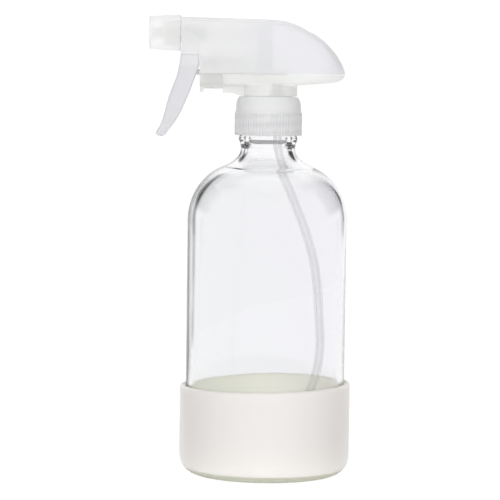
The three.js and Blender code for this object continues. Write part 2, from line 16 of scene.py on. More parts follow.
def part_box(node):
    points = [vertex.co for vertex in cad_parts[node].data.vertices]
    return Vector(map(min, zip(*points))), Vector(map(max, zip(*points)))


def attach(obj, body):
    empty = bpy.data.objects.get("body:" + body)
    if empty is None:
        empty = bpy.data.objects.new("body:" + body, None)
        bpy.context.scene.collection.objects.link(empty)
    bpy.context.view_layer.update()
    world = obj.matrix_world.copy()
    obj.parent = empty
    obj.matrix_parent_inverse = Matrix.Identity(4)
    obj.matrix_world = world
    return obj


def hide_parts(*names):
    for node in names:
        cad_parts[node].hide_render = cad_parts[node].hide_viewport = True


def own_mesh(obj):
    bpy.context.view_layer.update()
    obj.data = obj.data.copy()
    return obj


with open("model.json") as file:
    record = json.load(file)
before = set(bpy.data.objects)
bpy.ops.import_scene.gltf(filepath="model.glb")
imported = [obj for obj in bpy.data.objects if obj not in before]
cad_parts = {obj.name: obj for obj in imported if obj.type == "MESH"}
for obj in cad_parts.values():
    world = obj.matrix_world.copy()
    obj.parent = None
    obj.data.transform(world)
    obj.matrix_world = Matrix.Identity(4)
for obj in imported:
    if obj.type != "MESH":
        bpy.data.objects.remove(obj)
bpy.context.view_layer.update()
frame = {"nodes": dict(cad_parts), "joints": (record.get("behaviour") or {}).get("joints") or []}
MM = 0.001

# %% [markdown]
# ## Sizes
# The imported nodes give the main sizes, in millimetres here because that is how a moulded or blown
# part is drawn. What the boxes can't say, such as a corner's radius, is a named value.

# %% Sizes in millimetres, from the frame's nodes
def mm_box(node):
    low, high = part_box(node)
    return low / MM, high / MM


sleeve_high = mm_box("sleeve")[1]
glass_low, glass_high = mm_box("bottle")
collar_low, collar_high = mm_box("collar")
body_low = mm_box("pump_body")[0]
shroud_low, shroud_high = mm_box("shroud")
nozzle_low, nozzle_high = mm_box("nozzle_cap")

GAP = 0.3
SLEEVE_R = sleeve_high.x
SLEEVE_TOP = sleeve_high.z
GLASS_R = glass_high.x
GLASS_BOTTOM = glass_low.z
FINISH_TOP = glass_high.z
COLLAR_R = collar_high.x
BARREL_Z = (nozzle_low.z + nozzle_high.z) / 2
CYLINDER_Z = (mm_box("piston_seal")[0].z + mm_box("piston_seal")[1].z) / 2
INLET_X = (mm_box("inlet_ball")[0].x + mm_box("inlet_ball")[1].x) / 2
RIB_TOP = 170.6
THREAD = {"Start": 164.2 * MM, "Pitch": 4.233 * MM, "Turns": 1.25}
COLLAR_THREAD_START = THREAD["Start"] - THREAD["Pitch"] / 2
pull = next(j for j in frame["joints"] if j["name"] == "trigger_pull")
PIVOT = Vector(pull["pos_m"]) / MM
print(f"glass {2 * GLASS_R:.1f} mm across, {FINISH_TOP - GLASS_BOTTOM:.1f} mm tall")

# %% [markdown]
# ## Camera
# A long lens a little over a metre away, slightly above the shoulder and looking down four degrees,
# keeps the sides of the bottle parallel. The bottle leans by under a degree
# in the view, so the camera is rolled by that.

# %% Camera
CAMERA_PLACE = Vector((-7.85, -1190, 186)) * MM
CAMERA_TARGET = Vector((-7.85, 0, 105.8)) * MM
CAMERA_ROLL = math.radians(0.73)

camera = bpy.data.objects.new("camera", bpy.data.cameras.new("camera"))
bpy.context.scene.collection.objects.link(camera)
camera.data.lens = 182
camera.data.sensor_width = 36
camera.data.clip_end = 30
aim = (CAMERA_TARGET - CAMERA_PLACE).to_track_quat("-Z", "Y").to_matrix().to_4x4()
camera.matrix_world = Matrix.Translation(CAMERA_PLACE) @ aim @ Matrix.Rotation(CAMERA_ROLL, 4, "Z")
bpy.context.scene.camera = camera
print("camera at", [round(c, 3) for c in CAMERA_PLACE])

# %% [markdown]
# ## Helpers for meshes
# Most pieces of a bottle and a pump are turned about an axis, so one function spins an outline. The
# outline is a list of points of radius and height; where it starts and ends on the axis the piece is
# solid, and where it closes on itself the piece is a ring. Everything is written in millimetres and
# scaled once, when the mesh is made.

# %% Mesh helpers
def make_piece(name, points, faces, sharp_angle=35):
    """A clean, smooth-shaded mesh object from points in millimetres."""
    work = bmesh.new()
    corners = [work.verts.new(Vector(p) * MM) for p in points]
    for face in faces:
        work.faces.new([corners[i] for i in face])
    bmesh.ops.remove_doubles(work, verts=work.verts, dist=0.002 * MM)
    bmesh.ops.dissolve_degenerate(work, edges=work.edges, dist=0.001 * MM)
    bmesh.ops.recalc_face_normals(work, faces=work.faces)
    mesh = bpy.data.meshes.new(name)
    work.to_mesh(mesh)
    work.free()
    piece = bpy.data.objects.new(name, mesh)
    bpy.context.scene.collection.objects.link(piece)
    smooth(piece, sharp_angle)
    return piece


def smooth(piece, sharp_angle=35):
    for polygon in piece.data.polygons:
        polygon.use_smooth = True
    piece.data.set_sharp_from_angle(angle=math.radians(sharp_angle))


def place_on_z(radius, along, angle, centre):
    return (centre + radius * math.cos(angle), radius * math.sin(angle), along)


def place_on_x(radius, along, angle, centre):
    return (along, radius * math.cos(angle), centre + radius * math.sin(angle))


def turned(name, outline, sides=96, centre=0, place=place_on_z):
    """Spins an outline of (radius, place along the axis) points."""
    closed = math.dist(outline[0], outline[-1]) < 1e-6
    rows = outline[:-1] if closed else outline
    points = []
    for radius, along in rows:
        for side in range(sides):
            points.append(place(radius, along, 2 * math.pi * side / sides, centre))
    faces = []
    for row in range(len(rows) if closed else len(rows) - 1):
        low, high = row * sides, (row + 1) % len(rows) * sides
        for side in range(sides):
            after = (side + 1) % sides
            faces.append((low + side, low + after, high + after, high + side))
    return make_piece(name, points, faces)


def turned_on_x(name, outline, height, sides=64):
    return turned(name, outline, sides, height, place_on_x)


print("mesh helpers ready")

# %% [markdown]
# Outlines are drawn from a few stretches: straight lines, arcs, simple bends and a smooth curve
# through given points. A short rod or a ring is common enough to have its own function.

# %% Outline helpers
def rod(radius, start, end):
    return [(0, start), (radius, start), (radius, end), (0, end)]


def ring(inner, outer, start, end):
    return [(inner, start), (outer, start), (outer, end), (inner, end), (inner, start)]


def arc(centre_r, centre_z, radius_r, radius_z, start, end, steps):
    """Points of an arc or a stretch of an ellipse, with angles in degrees."""
    angles = [math.radians(start + (end - start) * i / steps) for i in range(steps + 1)]
    return [(centre_r + radius_r * math.cos(a), centre_z + radius_z * math.sin(a)) for a in angles]


def bend(start, control, end, steps):
    """Points of a quadratic Bezier stretch, without its first point."""
    ways = [(i + 1) / steps for i in range(steps)]
    return [tuple((1 - t) ** 2 * a + 2 * t * (1 - t) * b + t * t * c
                  for a, b, c in zip(start, control, end)) for t in ways]


def straight(start, end, steps):
    """Points of a straight stretch, without its first point."""
    return [tuple(a + (b - a) * (i + 1) / steps for a, b in zip(start, end)) for i in range(steps)]


def through(points, steps):
    """A smooth curve through a few points, with the same number of steps in each stretch."""
    ends = [2 * Vector(points[0]) - Vector(points[1]), 2 * Vector(points[-1]) - Vector(points[-2])]
    knots = [ends[0], *map(Vector, points), ends[1]]
    out = []
    for a, b, c, d in zip(knots, knots[1:], knots[2:], knots[3:]):
        for step in range(steps):
            t = step / steps
            out.append(0.5 * (2 * b + (c - a) * t + (2 * a - 5 * b + 4 * c - d) * t * t
                              + (3 * b - 3 * c + d - a) * t ** 3))
    return [tuple(p) for p in [*out, Vector(points[-1])]]


def rate(points, x):
    """The height of a polyline of (x, height) points at x."""
    if x <= points[0][0]:
        return points[0][1]
    for (x0, y0), (x1, y1) in zip(points, points[1:]):
        if x <= x1:
            return y0 + (y1 - y0) * (x - x0) / max(x1 - x0, 1e-9)
    return points[-1][1]


print("outline helpers ready")

# %% [markdown]
# ## Helpers for joined shapes
# A moulding such as the pump body is a sum of simple solids with bores cut out. Boolean modifiers
# join and cut them, and a small bevel breaks the edges as a mould does. The result is read back as a
# plain mesh, so no modifier is left on the piece.

# %% Join, cut and bevel
def bake(piece):
    """Turns a piece with modifiers into a plain mesh."""
    evaluated = piece.evaluated_get(bpy.context.evaluated_depsgraph_get())
    mesh = bpy.data.meshes.new_from_object(evaluated)
    piece.modifiers.clear()
    piece.data = mesh
    mesh.name = piece.name
    return piece


def combine(base, others, operation):
    for other in others:
        modifier = base.modifiers.new("combine", "BOOLEAN")
        modifier.operation = operation
        modifier.solver = "EXACT"
        modifier.object = other
    bake(base)
    for other in others:
        bpy.data.objects.remove(other)
    return base


def soften(piece, width, segments=3, angle=40):
    """Rounds the sharp edges of a piece and shades it smooth."""
    work = bmesh.new()
    work.from_mesh(piece.data)
    bmesh.ops.remove_doubles(work, verts=work.verts, dist=0.01 * MM)
    bmesh.ops.dissolve_limit(work, angle_limit=math.radians(1), verts=work.verts, edges=work.edges)
    work.to_mesh(piece.data)
    work.free()
    modifier = piece.modifiers.new("soften", "BEVEL")
    modifier.width = width * MM
    modifier.segments = segments
    modifier.limit_method = "ANGLE"
    modifier.angle_limit = math.radians(angle)
    bake(piece)
    smooth(piece, 30)
    return piece


print("join helpers ready")


# %% Slabs, blocks and lofts
def slab(name, outline, low, high, across):
    """A slab of an outline in one plane, from low to high along the axis across it."""
    spots = {"x": lambda u, v, w: (w, u, v), "y": lambda u, v, w: (u, w, v),
             "z": lambda u, v, w: (u, v, w)}[across]
    count = len(outline)
    points = [spots(u, v, low) for u, v in outline] + [spots(u, v, high) for u, v in outline]
    faces = [tuple(range(count)), tuple(range(2 * count - 1, count - 1, -1))]
    faces += [(i, (i + 1) % count, count + (i + 1) % count, count + i) for i in range(count)]
    return make_piece(name, points, faces)


def block(name, low, high):
    outline = [(low[0], low[2]), (high[0], low[2]), (high[0], high[2]), (low[0], high[2])]
    return slab(name, outline, low[1], high[1], "y")


def lofted(name, rows):
    """A solid from rows of points, each row an open arch whose two ends are joined by a flat face."""
    count = len(rows[0])
    points = [p for row in rows for p in row]
    faces = []
    for row in range(len(rows) - 1):
        low, high = row * count, (row + 1) * count
        for i in range(count):
            after = (i + 1) % count
            faces.append((low + i, low + after, high + after, high + i))
    faces.append(tuple(range(count)))
    last = (len(rows) - 1) * count
    faces.append(tuple(range(last + count - 1, last - 1, -1)))
    return make_piece(name, points, faces)


print("slab helpers ready")

# %% [markdown]
# ## Helpers for node trees
# Shader and geometry trees are both graphs of small nodes. One class adds any node from its type,
# its settings and its inputs; another wraps an output, so that a formula written with + - * / adds
# the Math nodes by itself.

# %% Node helpers
class Value:
    """An output in a node tree. Arithmetic on it adds Math nodes."""

    def __init__(self, graph, socket):
        self.graph = graph
        self.socket = socket

    def math(self, operation, *others):
        inputs = dict(enumerate([self, *others]))
        return self.graph.node("ShaderNodeMath", {"operation": operation}, inputs)[0]

    def __add__(self, other):
        return self.math("ADD", other)

    def __sub__(self, other):
        return self.math("SUBTRACT", other)

    def __mul__(self, other):
        return self.math("MULTIPLY", other)

    def __truediv__(self, other):
        return self.math("DIVIDE", other)

    def __rsub__(self, other):
        return (self * -1) + other

    def __pow__(self, other):
        return self.math("POWER", other)

    __radd__ = __add__
    __rmul__ = __mul__

    def clamped(self):
        return self.math("MAXIMUM", 0.0).math("MINIMUM", 1.0)


print("values ready")


# %% Graphs
class Graph:
    """A node tree that is filled one node at a time."""

    def __init__(self, tree):
        self.tree = tree

    def node(self, kind, settings=None, inputs=None):
        made = self.tree.nodes.new(kind)
        for name, value in (settings or {}).items():
            if name == "stops":
                self.set_stops(made.color_ramp, value)
            else:
                setattr(made, name, value)
        for key, value in (inputs or {}).items():
            if isinstance(value, Value):
                self.tree.links.new(value.socket, made.inputs[key])
            else:
                made.inputs[key].default_value = value
        outputs = {socket.name: Value(self, socket) for socket in made.outputs}
        outputs.update({i: Value(self, socket) for i, socket in enumerate(made.outputs)})
        return outputs

    @staticmethod
    def set_stops(ramp, stops):
        while len(ramp.elements) < len(stops):
            ramp.elements.new(0.5)
        for element, (place, shade) in zip(ramp.elements, stops):
            element.position = place
            element.color = (shade, shade, shade, 1) if isinstance(shade, float) else (*shade, 1)


print("node helpers ready")

# %% [markdown]
# ## Finishes
# Every finish is one Principled shader whose even properties sit on its own sockets. What varies is
# the colour, the roughness and the bump, and all three read Object coordinates, so that a pattern
# stays put on its piece. Real polypropylene and silicone are never quite even: the colour drifts over
# a few centimetres and the skin has a fine grain.

# %% Material helpers
def start_material(name, even):
    """A Principled shader with its even sockets set. Returns the material, graph and its inputs."""
    material = bpy.data.materials.new(name)
    material.use_nodes = True
    tree = material.node_tree
    tree.nodes.clear()
    graph = Graph(tree)
    shader = tree.nodes.new("ShaderNodeBsdfPrincipled")
    output = tree.nodes.new("ShaderNodeOutputMaterial")
    tree.links.new(shader.outputs["BSDF"], output.inputs["Surface"])
    for socket, value in even.items():
        shader.inputs[socket].default_value = value
    return material, graph, shader


def feed(graph, shader, socket, value):
    graph.tree.links.new(value.socket, shader.inputs[socket])


def object_coordinates(graph):
    return graph.node("ShaderNodeTexCoord")["Object"]


def noise_at(graph, coordinates, scale, detail=3.0, stretch=(1, 1, 1)):
    """A soft noise of about 0 to 1; scale counts its features in a metre."""
    mapped = graph.node("ShaderNodeMapping", inputs={"Vector": coordinates, "Scale": stretch})[0]
    inputs = {"Vector": mapped, "Scale": scale, "Detail": detail, "Roughness": 0.55}
    return graph.node("ShaderNodeTexNoise", inputs=inputs)[0]


def blend_colours(graph, share, first, second):
    """Mixes two colours. Each is three numbers or an output in the tree."""
    settings = {"data_type": "RGBA", "blend_type": "MIX"}
    first, second = (c if isinstance(c, Value) else (*c, 1) for c in (first, second))
    return graph.node("ShaderNodeMix", settings, {0: share, 6: first, 7: second})[2]


print("material starters ready")


# %% Position, noise and grain
def split(graph, vector):
    """The X, Y and Z of a vector."""
    return graph.node("ShaderNodeSeparateXYZ", inputs={0: vector})


def rises(value, start, width):
    """0 up to start, then up to 1 over a width. Both are in millimetres."""
    return ((value - start * MM) * (1 / (width * MM))).clamped()


def falls(value, end, width):
    """1 until a width before the end, then down to 0 at it, in millimetres."""
    return ((end * MM - value) * (1 / (width * MM))).clamped()


def grain(graph, shader, height, strength, distance):
    """Bump from a height, in millimetres of relief."""
    inputs = {"Height": height, "Strength": strength, "Distance": distance * MM}
    feed(graph, shader, "Normal", graph.node("ShaderNodeBump", inputs=inputs)[0])


print("material helpers ready")

# %% [markdown]
# ## Clear glass
# Bottle glass is clear with a faint cool tint, and its inside is wavy because the blown wall sets
# before it evens out. A smooth Principled shader with full transmission and an index of 1.5 bends
# light as the real wall does; a weak, broad bump adds the waves.

# %% Glass
NECK_PAINTED_LIGHT_FROM = 138
NECK_PAINTED_LIGHT_OVER = 12.5


def glass_material(name, left, right, neck, wave):
    """Clear glass whose tint drifts from its left to its right, with painted light at the neck, where
    its colour is lighter so that the neck passes more light.
    """
    material, graph, shader = start_material(name, {"Transmission Weight": 1.0, "IOR": 1.5})
    place = object_coordinates(graph)
    parts = split(graph, place)
    drift = noise_at(graph, place, 30, 2)
    across = (parts["X"] * 12.0 + drift).clamped()
    tint = blend_colours(graph, across, left, right)
    up = rises(parts["Z"], NECK_PAINTED_LIGHT_FROM, NECK_PAINTED_LIGHT_OVER)
    feed(graph, shader, "Base Color", blend_colours(graph, up, tint, neck))
    smear = noise_at(graph, place, 90, 3)
    feed(graph, shader, "Roughness", smear * 0.012)
    grain(graph, shader, noise_at(graph, place, 26, 1, (1, 1, 0.35)), 0.35, wave)
    return material


# The third colour is the painted light at the neck.
CLEAR_GLASS = glass_material("clear_glass", (0.905, 0.912, 0.915), (0.912, 0.908, 0.932),
                             (0.955, 0.955, 0.965), 0.6)
BALL_GLASS = glass_material("ball_glass", (0.9, 0.93, 0.95), (0.9, 0.93, 0.95), (0.9, 0.93, 0.95),
                            0.05)
print("glass:", CLEAR_GLASS.name, BALL_GLASS.name)

# %% [markdown]
# ## Milky polypropylene
# The head is moulded in uncoloured polypropylene, which is cloudy. Some light goes straight through a
# thin wall, some is scattered on to the far side, and the rest comes back, under a satin skin. So
# three shaders are mixed: a Principled skin, a Translucent body and a Transparent share, which is
# smaller where the wall is seen along its length. One function makes the shades of the thicknesses.

# %% Milky plastic
def milky_surface(graph, shader, colour, through, spread=0.5, edge=0.75):
    """Mixes a Principled skin with light scattered forwards and light that goes straight through."""
    tree = graph.tree
    output = next(n for n in tree.nodes if n.type == "OUTPUT_MATERIAL")
    skin = Value(graph, shader.outputs["BSDF"])
    scattered = graph.node("ShaderNodeBsdfTranslucent", inputs={"Color": (*colour, 1)})[0]
    body = graph.node("ShaderNodeMixShader", inputs={0: spread, 1: skin, 2: scattered})[0]
    if through is None:
        tree.links.new(body.socket, output.inputs["Surface"])
        return
    clear = graph.node("ShaderNodeBsdfTransparent", inputs={"Color": (1, 1, 1, 1)})[0]
    facing = graph.node("ShaderNodeLayerWeight", inputs={"Blend": 0.45})["Facing"]
    share = (1.0 - facing * edge) * through
    whole = graph.node("ShaderNodeMixShader", inputs={0: share, 1: body, 2: clear})[0]
    tree.links.new(whole.socket, output.inputs["Surface"])


print("milky surface ready")

# %% [markdown]
# The head isn't the same all over, and light and shade are painted into its colours by position.
# The riser is painted darker, a painted shadow that shows as a darker column through the cover, with
# thin clear walls ahead of it. The rear of the cover is painted darker and bluer, a painted shade. The
# trigger is painted lighter where it is seen through the cover, a painted light, and the collar's
# inside thread is painted as soft darker bands of shade. The bands follow the thread's helix, and are
# drawn on over all the ribs.

# %% Painted light and shade by position
RISER_FRONT = -5.6
RISER_FOOT = 190.5
TRIGGER_PAINTED_LIGHT_FROM = 191.5
REAR_PAINTED_SHADE_FROM = -20
REAR_PAINTED_SHADE_OVER = 28.6
THIN_WALL_SHARE = 0.85


def thin_walls(parts, through):
    """The share that goes straight through, larger in the thin walls ahead of the riser."""
    above = rises(parts["Z"], RISER_FOOT, 1.67)
    ahead = falls(parts["X"], RISER_FRONT, 0.83)
    return above * ahead * (THIN_WALL_SHARE - through) + through


# Painted shadow: the riser is painted darker and greyer in the body's colour, so it shows as a dark
# column through the cover.
def paint_riser_shadow(graph, parts, tone):
    riser = rises(parts["Z"], RISER_FOOT, 1.67) * rises(parts["X"], RISER_FRONT, 0.83)
    return blend_colours(graph, riser, tone, (0.8, 0.8, 0.85))


# Painted shade: the cover's colour turns darker and bluer towards the rear.
def paint_shroud_rear_shade(graph, parts, tone):
    return blend_colours(graph, rises(parts["X"], REAR_PAINTED_SHADE_FROM, REAR_PAINTED_SHADE_OVER), tone, (0.9, 0.9, 0.94))


# Painted light: the trigger's upper part, seen through the cover, is painted lighter.
def paint_trigger_upper_light(graph, parts, tone):
    upper = rises(parts["Z"], TRIGGER_PAINTED_LIGHT_FROM, 2)
    return blend_colours(graph, upper, tone, (0.97, 0.97, 0.98))


def paint_collar_band_shade(graph, parts, tone):
    """Painted shade: soft darker bands along the helix of the inside thread."""
    turn = parts["Y"].math("ARCTAN2", parts["X"]) * (1 / (2 * math.pi))
    along = (parts["Z"] - COLLAR_THREAD_START) * (1 / THREAD["Pitch"])
    wave = ((along - turn) * (2 * math.pi)).math("COSINE")
    bands = (wave * 1.6 + 0.5).clamped() * falls(parts["Z"], RIB_TOP + 0.1, 0.5)
    return blend_colours(graph, bands * 0.6, tone, (0.86, 0.86, 0.88))


print("shades ready")


# %% Milky finishes
def milky_material(name, colour, through, rough, relief=0.02, spread=0.5, edge=0.75, shade=None):
    """A cloudy plastic; through is the share that goes straight through, spread the scattered share."""
    material, graph, shader = start_material(name, {"IOR": 1.46})
    place = object_coordinates(graph)
    cloud = noise_at(graph, place, 55, 3)
    tone = blend_colours(graph, cloud, tuple(c * 0.975 for c in colour), colour)
    # shade, when given, paints light or shade into the colour by position.
    if shade:
        parts = split(graph, place)
        tone = shade(graph, parts, tone)
        if shade is paint_riser_shadow:
            through = thin_walls(parts, through)
    feed(graph, shader, "Base Color", tone)
    satin = noise_at(graph, place, 240, 3)
    feed(graph, shader, "Roughness", satin * 0.1 + (rough - 0.05))
    flow = noise_at(graph, place, 70, 2, (0.4, 1, 1))
    fine = noise_at(graph, place, 1500, 2)
    grain(graph, shader, flow * 2.0 + fine * 0.4, 0.5, relief)
    milky_surface(graph, shader, colour, through, spread, edge)
    return material


SHROUD_PLASTIC = milky_material(
    "shroud_plastic", (0.975, 0.975, 0.98), 0.55, 0.34, shade=paint_shroud_rear_shade)
COLLAR_PLASTIC = milky_material(
    "collar_plastic", (0.995, 0.995, 1.0), 0.25, 0.3, 0.01, 0.35, 0.5, paint_collar_band_shade)
BODY_PLASTIC = milky_material("body_plastic", (0.99, 0.995, 0.98), 0.42, 0.38, shade=paint_riser_shadow)
TRIGGER_PLASTIC = milky_material(
    "trigger_plastic", (0.9, 0.9, 0.92), 0.12, 0.36, 0.02, 0.45, shade=paint_trigger_upper_light)
NOZZLE_PLASTIC = milky_material("nozzle_plastic", (0.99, 0.99, 0.99), 0.5, 0.34, 0.02, 0.35)
TUBE_PLASTIC = milky_material("tube_plastic", (0.99, 0.99, 0.99), 0.92, 0.3, 0.005, 0.8, 0.3)
WHITE_PLASTIC = milky_material("piston_plastic", (0.95, 0.95, 0.94), 0.1, 0.42)
print("milky plastics:", 7)

# %% [markdown]
# ## Silicone, rubber, foam and wire
# The sleeve is warm white silicone: matt, soft to the eye, with a bloom of fine dust and a faint
# mottle. Its inside face, pressed to the glass, looks a little yellower. The rings are pale rubber,
# the liner is foam, and the springs are bright drawn wire with marks along their length.

# %% Soft and metal finishes
def silicone_material(inner_radius):
    even = {"Sheen Weight": 0.15, "Sheen Roughness": 0.5, "IOR": 1.41}
    material, graph, shader = start_material("sleeve_silicone", even)
    place = object_coordinates(graph)
    parts = split(graph, place)
    radius = (parts["X"] * parts["X"] + parts["Y"] * parts["Y"]) ** 0.5
    outside = rises(radius, inner_radius + 0.3, 0.5)
    mottle = noise_at(graph, place, 60, 4)
    skin = blend_colours(graph, mottle, (0.95, 0.908, 0.912), (0.97, 0.93, 0.935))
    feed(graph, shader, "Base Color", blend_colours(graph, outside, (0.97, 0.98, 0.84), skin))
    feed(graph, shader, "Roughness", mottle * 0.14 + 0.5)
    dust = noise_at(graph, place, 2600, 2)
    slow = noise_at(graph, place, 45, 2)
    grain(graph, shader, dust * 0.5 + slow * 2.0, 0.4, 0.03)
    milky_surface(graph, shader, (0.965, 0.968, 0.9), None, 0.86 - outside * 0.46)
    return material


def plain_material(name, dark, light, rough, scale, relief, even=None, stretch=(1, 1, 1)):
    material, graph, shader = start_material(name, even or {})
    place = object_coordinates(graph)
    cloud = noise_at(graph, place, scale, 4, stretch)
    feed(graph, shader, "Base Color", blend_colours(graph, cloud, dark, light))
    feed(graph, shader, "Roughness", cloud * 0.12 + (rough - 0.06))
    grain(graph, shader, cloud, 0.5, relief)
    return material


SILICONE = silicone_material(GLASS_R + GAP)
SEAL_RUBBER = plain_material("seal_rubber", (0.7, 0.7, 0.67), (0.8, 0.8, 0.78), 0.55, 900, 0.02)
SEAL_FOAM = plain_material("seal_foam", (0.82, 0.82, 0.79), (0.93, 0.93, 0.91), 0.8, 2200, 0.06)
SPRING_STEEL = plain_material(
    "spring_steel", (0.55, 0.56, 0.58), (0.72, 0.73, 0.75), 0.24, 700, 0.004, {"Metallic": 1.0},
    (0.2, 1, 1))
print("silicone, rubber, foam and wire")


def finish_piece(piece, material, body, slot, *nodes):
    """Gives a piece its finish, puts it on its body and lets it stand for CAD nodes."""
    piece.data.materials.clear()
    piece.data.materials.append(material)
    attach(piece, body)
    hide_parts(*nodes)
    print(f"{piece.name}: {len(piece.data.polygons)} faces")
    return piece


# %% [markdown]
# ## Ridges by Geometry Nodes
# A screw thread and a collar's grip ribs follow a rule: how far a point of the wall moves in or out
# depends only on its angle and height. So the wall is turned plain, and a geometry tree moves its
# points along their radius. The wall stays one closed skin, which matters in glass, where any buried
# face would show.

# %% Geometry tree builders
def geometry_tree(name, sizes):
    """An empty geometry tree with one Geometry input and a named input for each size."""
    tree = bpy.data.node_groups.new(name, "GeometryNodeTree")
    tree.interface.new_socket("Geometry", in_out="INPUT", socket_type="NodeSocketGeometry")
    for size in sizes:
        tree.interface.new_socket(size, in_out="INPUT", socket_type="NodeSocketFloat")
    tree.interface.new_socket("Material", in_out="INPUT", socket_type="NodeSocketMaterial")
    tree.interface.new_socket("Geometry", in_out="OUTPUT", socket_type="NodeSocketGeometry")
    graph = Graph(tree)
    return graph, graph.node("NodeGroupInput")


def close_tree(graph, given, geometry):
    """Ends a tree with Realize Instances and Set Material."""
    real = graph.node("GeometryNodeRealizeInstances", inputs={0: geometry})[0]
    dressed = graph.node("GeometryNodeSetMaterial", inputs={0: real, 2: given["Material"]})[0]
    graph.node("NodeGroupOutput", inputs={0: dressed})
    return graph.tree


def run_tree(piece, tree, sizes, material):
    """Runs a geometry tree on a piece and keeps the result as a plain mesh."""
    modifier = piece.modifiers.new(tree.name, "NODES")
    modifier.node_group = tree
    for item in tree.interface.items_tree:
        if item.in_out == "INPUT" and item.name in sizes:
            modifier[item.identifier] = float(sizes[item.name])
        if item.in_out == "INPUT" and item.name == "Material":
            modifier[item.identifier] = material
    bake(piece)
    smooth(piece)
    return piece


def radial(graph):
    """Position, x, y, z, radius and angle in turns (0 to 1) at each point."""
    position = graph.node("GeometryNodeInputPosition")[0]
    parts = split(graph, position)
    x, y, z = parts["X"], parts["Y"], parts["Z"]
    radius = (x * x + y * y) ** 0.5
    turn = y.math("ARCTAN2", x) * (1 / (2 * math.pi))
    return x, y, z, radius, turn.math("FLOORED_MODULO", 1.0)


def move_radially(graph, geometry, offset):
    x, y, _, radius, _ = radial(graph)
    share = offset / radius
    move = graph.node("ShaderNodeCombineXYZ", inputs={"X": x * share, "Y": y * share})[0]
    return graph.node("GeometryNodeSetPosition", inputs={"Geometry": geometry, "Offset": move})[0]


def between(value, low, high):
    """1 where value lies between low and high, else 0."""
    return value.math("GREATER_THAN", low) * value.math("LESS_THAN", high)


print("tree builders ready")


# %% Thread tree
THREAD_SIZES = ["Start", "Pitch", "Turns", "Height", "Half width", "Wall low", "Wall high"]


def thread_tree():
    graph, given = geometry_tree("screw_thread", THREAD_SIZES)
    _, _, z, radius, turn = radial(graph)
    total = None
    for winding in range(2):
        along = turn + float(winding)
        centre = given["Start"] + given["Pitch"] * along
        side = (z - centre) / given["Half width"]
        hump = (1.0 - side * side).math("MAXIMUM", 0.0)
        entry = (along * 12.0).clamped()
        leaving = ((given["Turns"] - along) * 12.0).clamped()
        ridge = hump * entry * leaving
        total = ridge if total is None else total.math("MAXIMUM", ridge)
    wall = between(radius, given["Wall low"], given["Wall high"])
    moved = move_radially(graph, given["Geometry"], total * given["Height"] * wall)
    return close_tree(graph, given, moved)


THREAD_TREE = thread_tree()
print("tree:", THREAD_TREE.name)


# %% Rib tree
RIB_SIZES = ["Count", "Depth", "Bottom", "Top", "Wall low"]


def rib_tree():
    graph, given = geometry_tree("grip_ribs", RIB_SIZES)
    _, _, z, radius, turn = radial(graph)
    wave = (turn * given["Count"] * (2 * math.pi)).math("COSINE")
    valley = (0.5 - wave * 0.5) ** 1.5
    rise = rises(z - given["Bottom"], 0, 0.5)
    fall = rises(given["Top"] - z, 0, 0.7)
    wall = radius.math("GREATER_THAN", given["Wall low"])
    offset = valley * given["Depth"] * rise * fall * wall * -1.0
    return close_tree(graph, given, move_radially(graph, given["Geometry"], offset))


RIB_TREE = rib_tree()
print("tree:", RIB_TREE.name)

# %% [markdown]
# ## Silicone sleeve
# A cup with a soft corner below and a rounded lip above. It is turned from an outline with close
# points at the corner and the lip, where the light turns. The soft wall swells and sinks a little, and
# its rim leans by a little over a degree.

# %% Sleeve
SLEEVE_WALL = SLEEVE_R - GLASS_R - GAP
SLEEVE_FLOOR = GLASS_BOTTOM - GAP
SLEEVE_CORNER = 9
RIM_TILT = 0.022
SWELL = 0.12
HEEL_RADIUS = 7


def sleeve_outline():
    lip = SLEEVE_WALL / 2
    inner_corner = HEEL_RADIUS + GAP
    inner = GLASS_R + GAP
    return [
        (0, 0), (15, 0), (28, 0),
        *arc(SLEEVE_R - SLEEVE_CORNER, SLEEVE_CORNER, SLEEVE_CORNER, SLEEVE_CORNER, -90, 0, 18),
        *straight((SLEEVE_R, SLEEVE_CORNER), (SLEEVE_R, SLEEVE_TOP - lip), 12),
        *arc(SLEEVE_R - lip, SLEEVE_TOP - lip, lip, lip, 0, 180, 12)[1:],
        *straight((inner, SLEEVE_TOP - lip), (inner, SLEEVE_FLOOR + inner_corner), 8),
        *arc(inner - inner_corner, SLEEVE_FLOOR + inner_corner, inner_corner, inner_corner,
             0, -90, 10)[1:],
        (0, SLEEVE_FLOOR),
    ]


def swell_and_lean(piece):
    """Moves the outside in and out a little and leans the rim towards one side."""
    for vertex in piece.data.vertices:
        if vertex.co.z <= SLEEVE_CORNER * MM:
            continue
        swell = noise.noise(vertex.co * 38) * SWELL * MM
        reach = math.hypot(vertex.co.x, vertex.co.y)
        if reach > (SLEEVE_R - 0.5) * MM:
            vertex.co.x *= 1 + swell / reach
            vertex.co.y *= 1 + swell / reach
        share = min((vertex.co.z / MM - SLEEVE_CORNER) / (SLEEVE_TOP - SLEEVE_CORNER), 1)
        vertex.co.z += vertex.co.x * RIM_TILT * share * share


sleeve = turned("base_sleeve", sleeve_outline(), 144)
swell_and_lean(sleeve)
finish_piece(sleeve, SILICONE, "bottle", "sleeve_silicone", "sleeve")

# %% [markdown]
# ## Glass bottle
# One closed skin from the push-up under the base, round the heel, up the wall, over the shoulder and
# the neck, round the rim and down the inside to the thick floor. The inside runs nearly parallel to
# the outside, because glass that thickens fast works as a lens and turns dark.

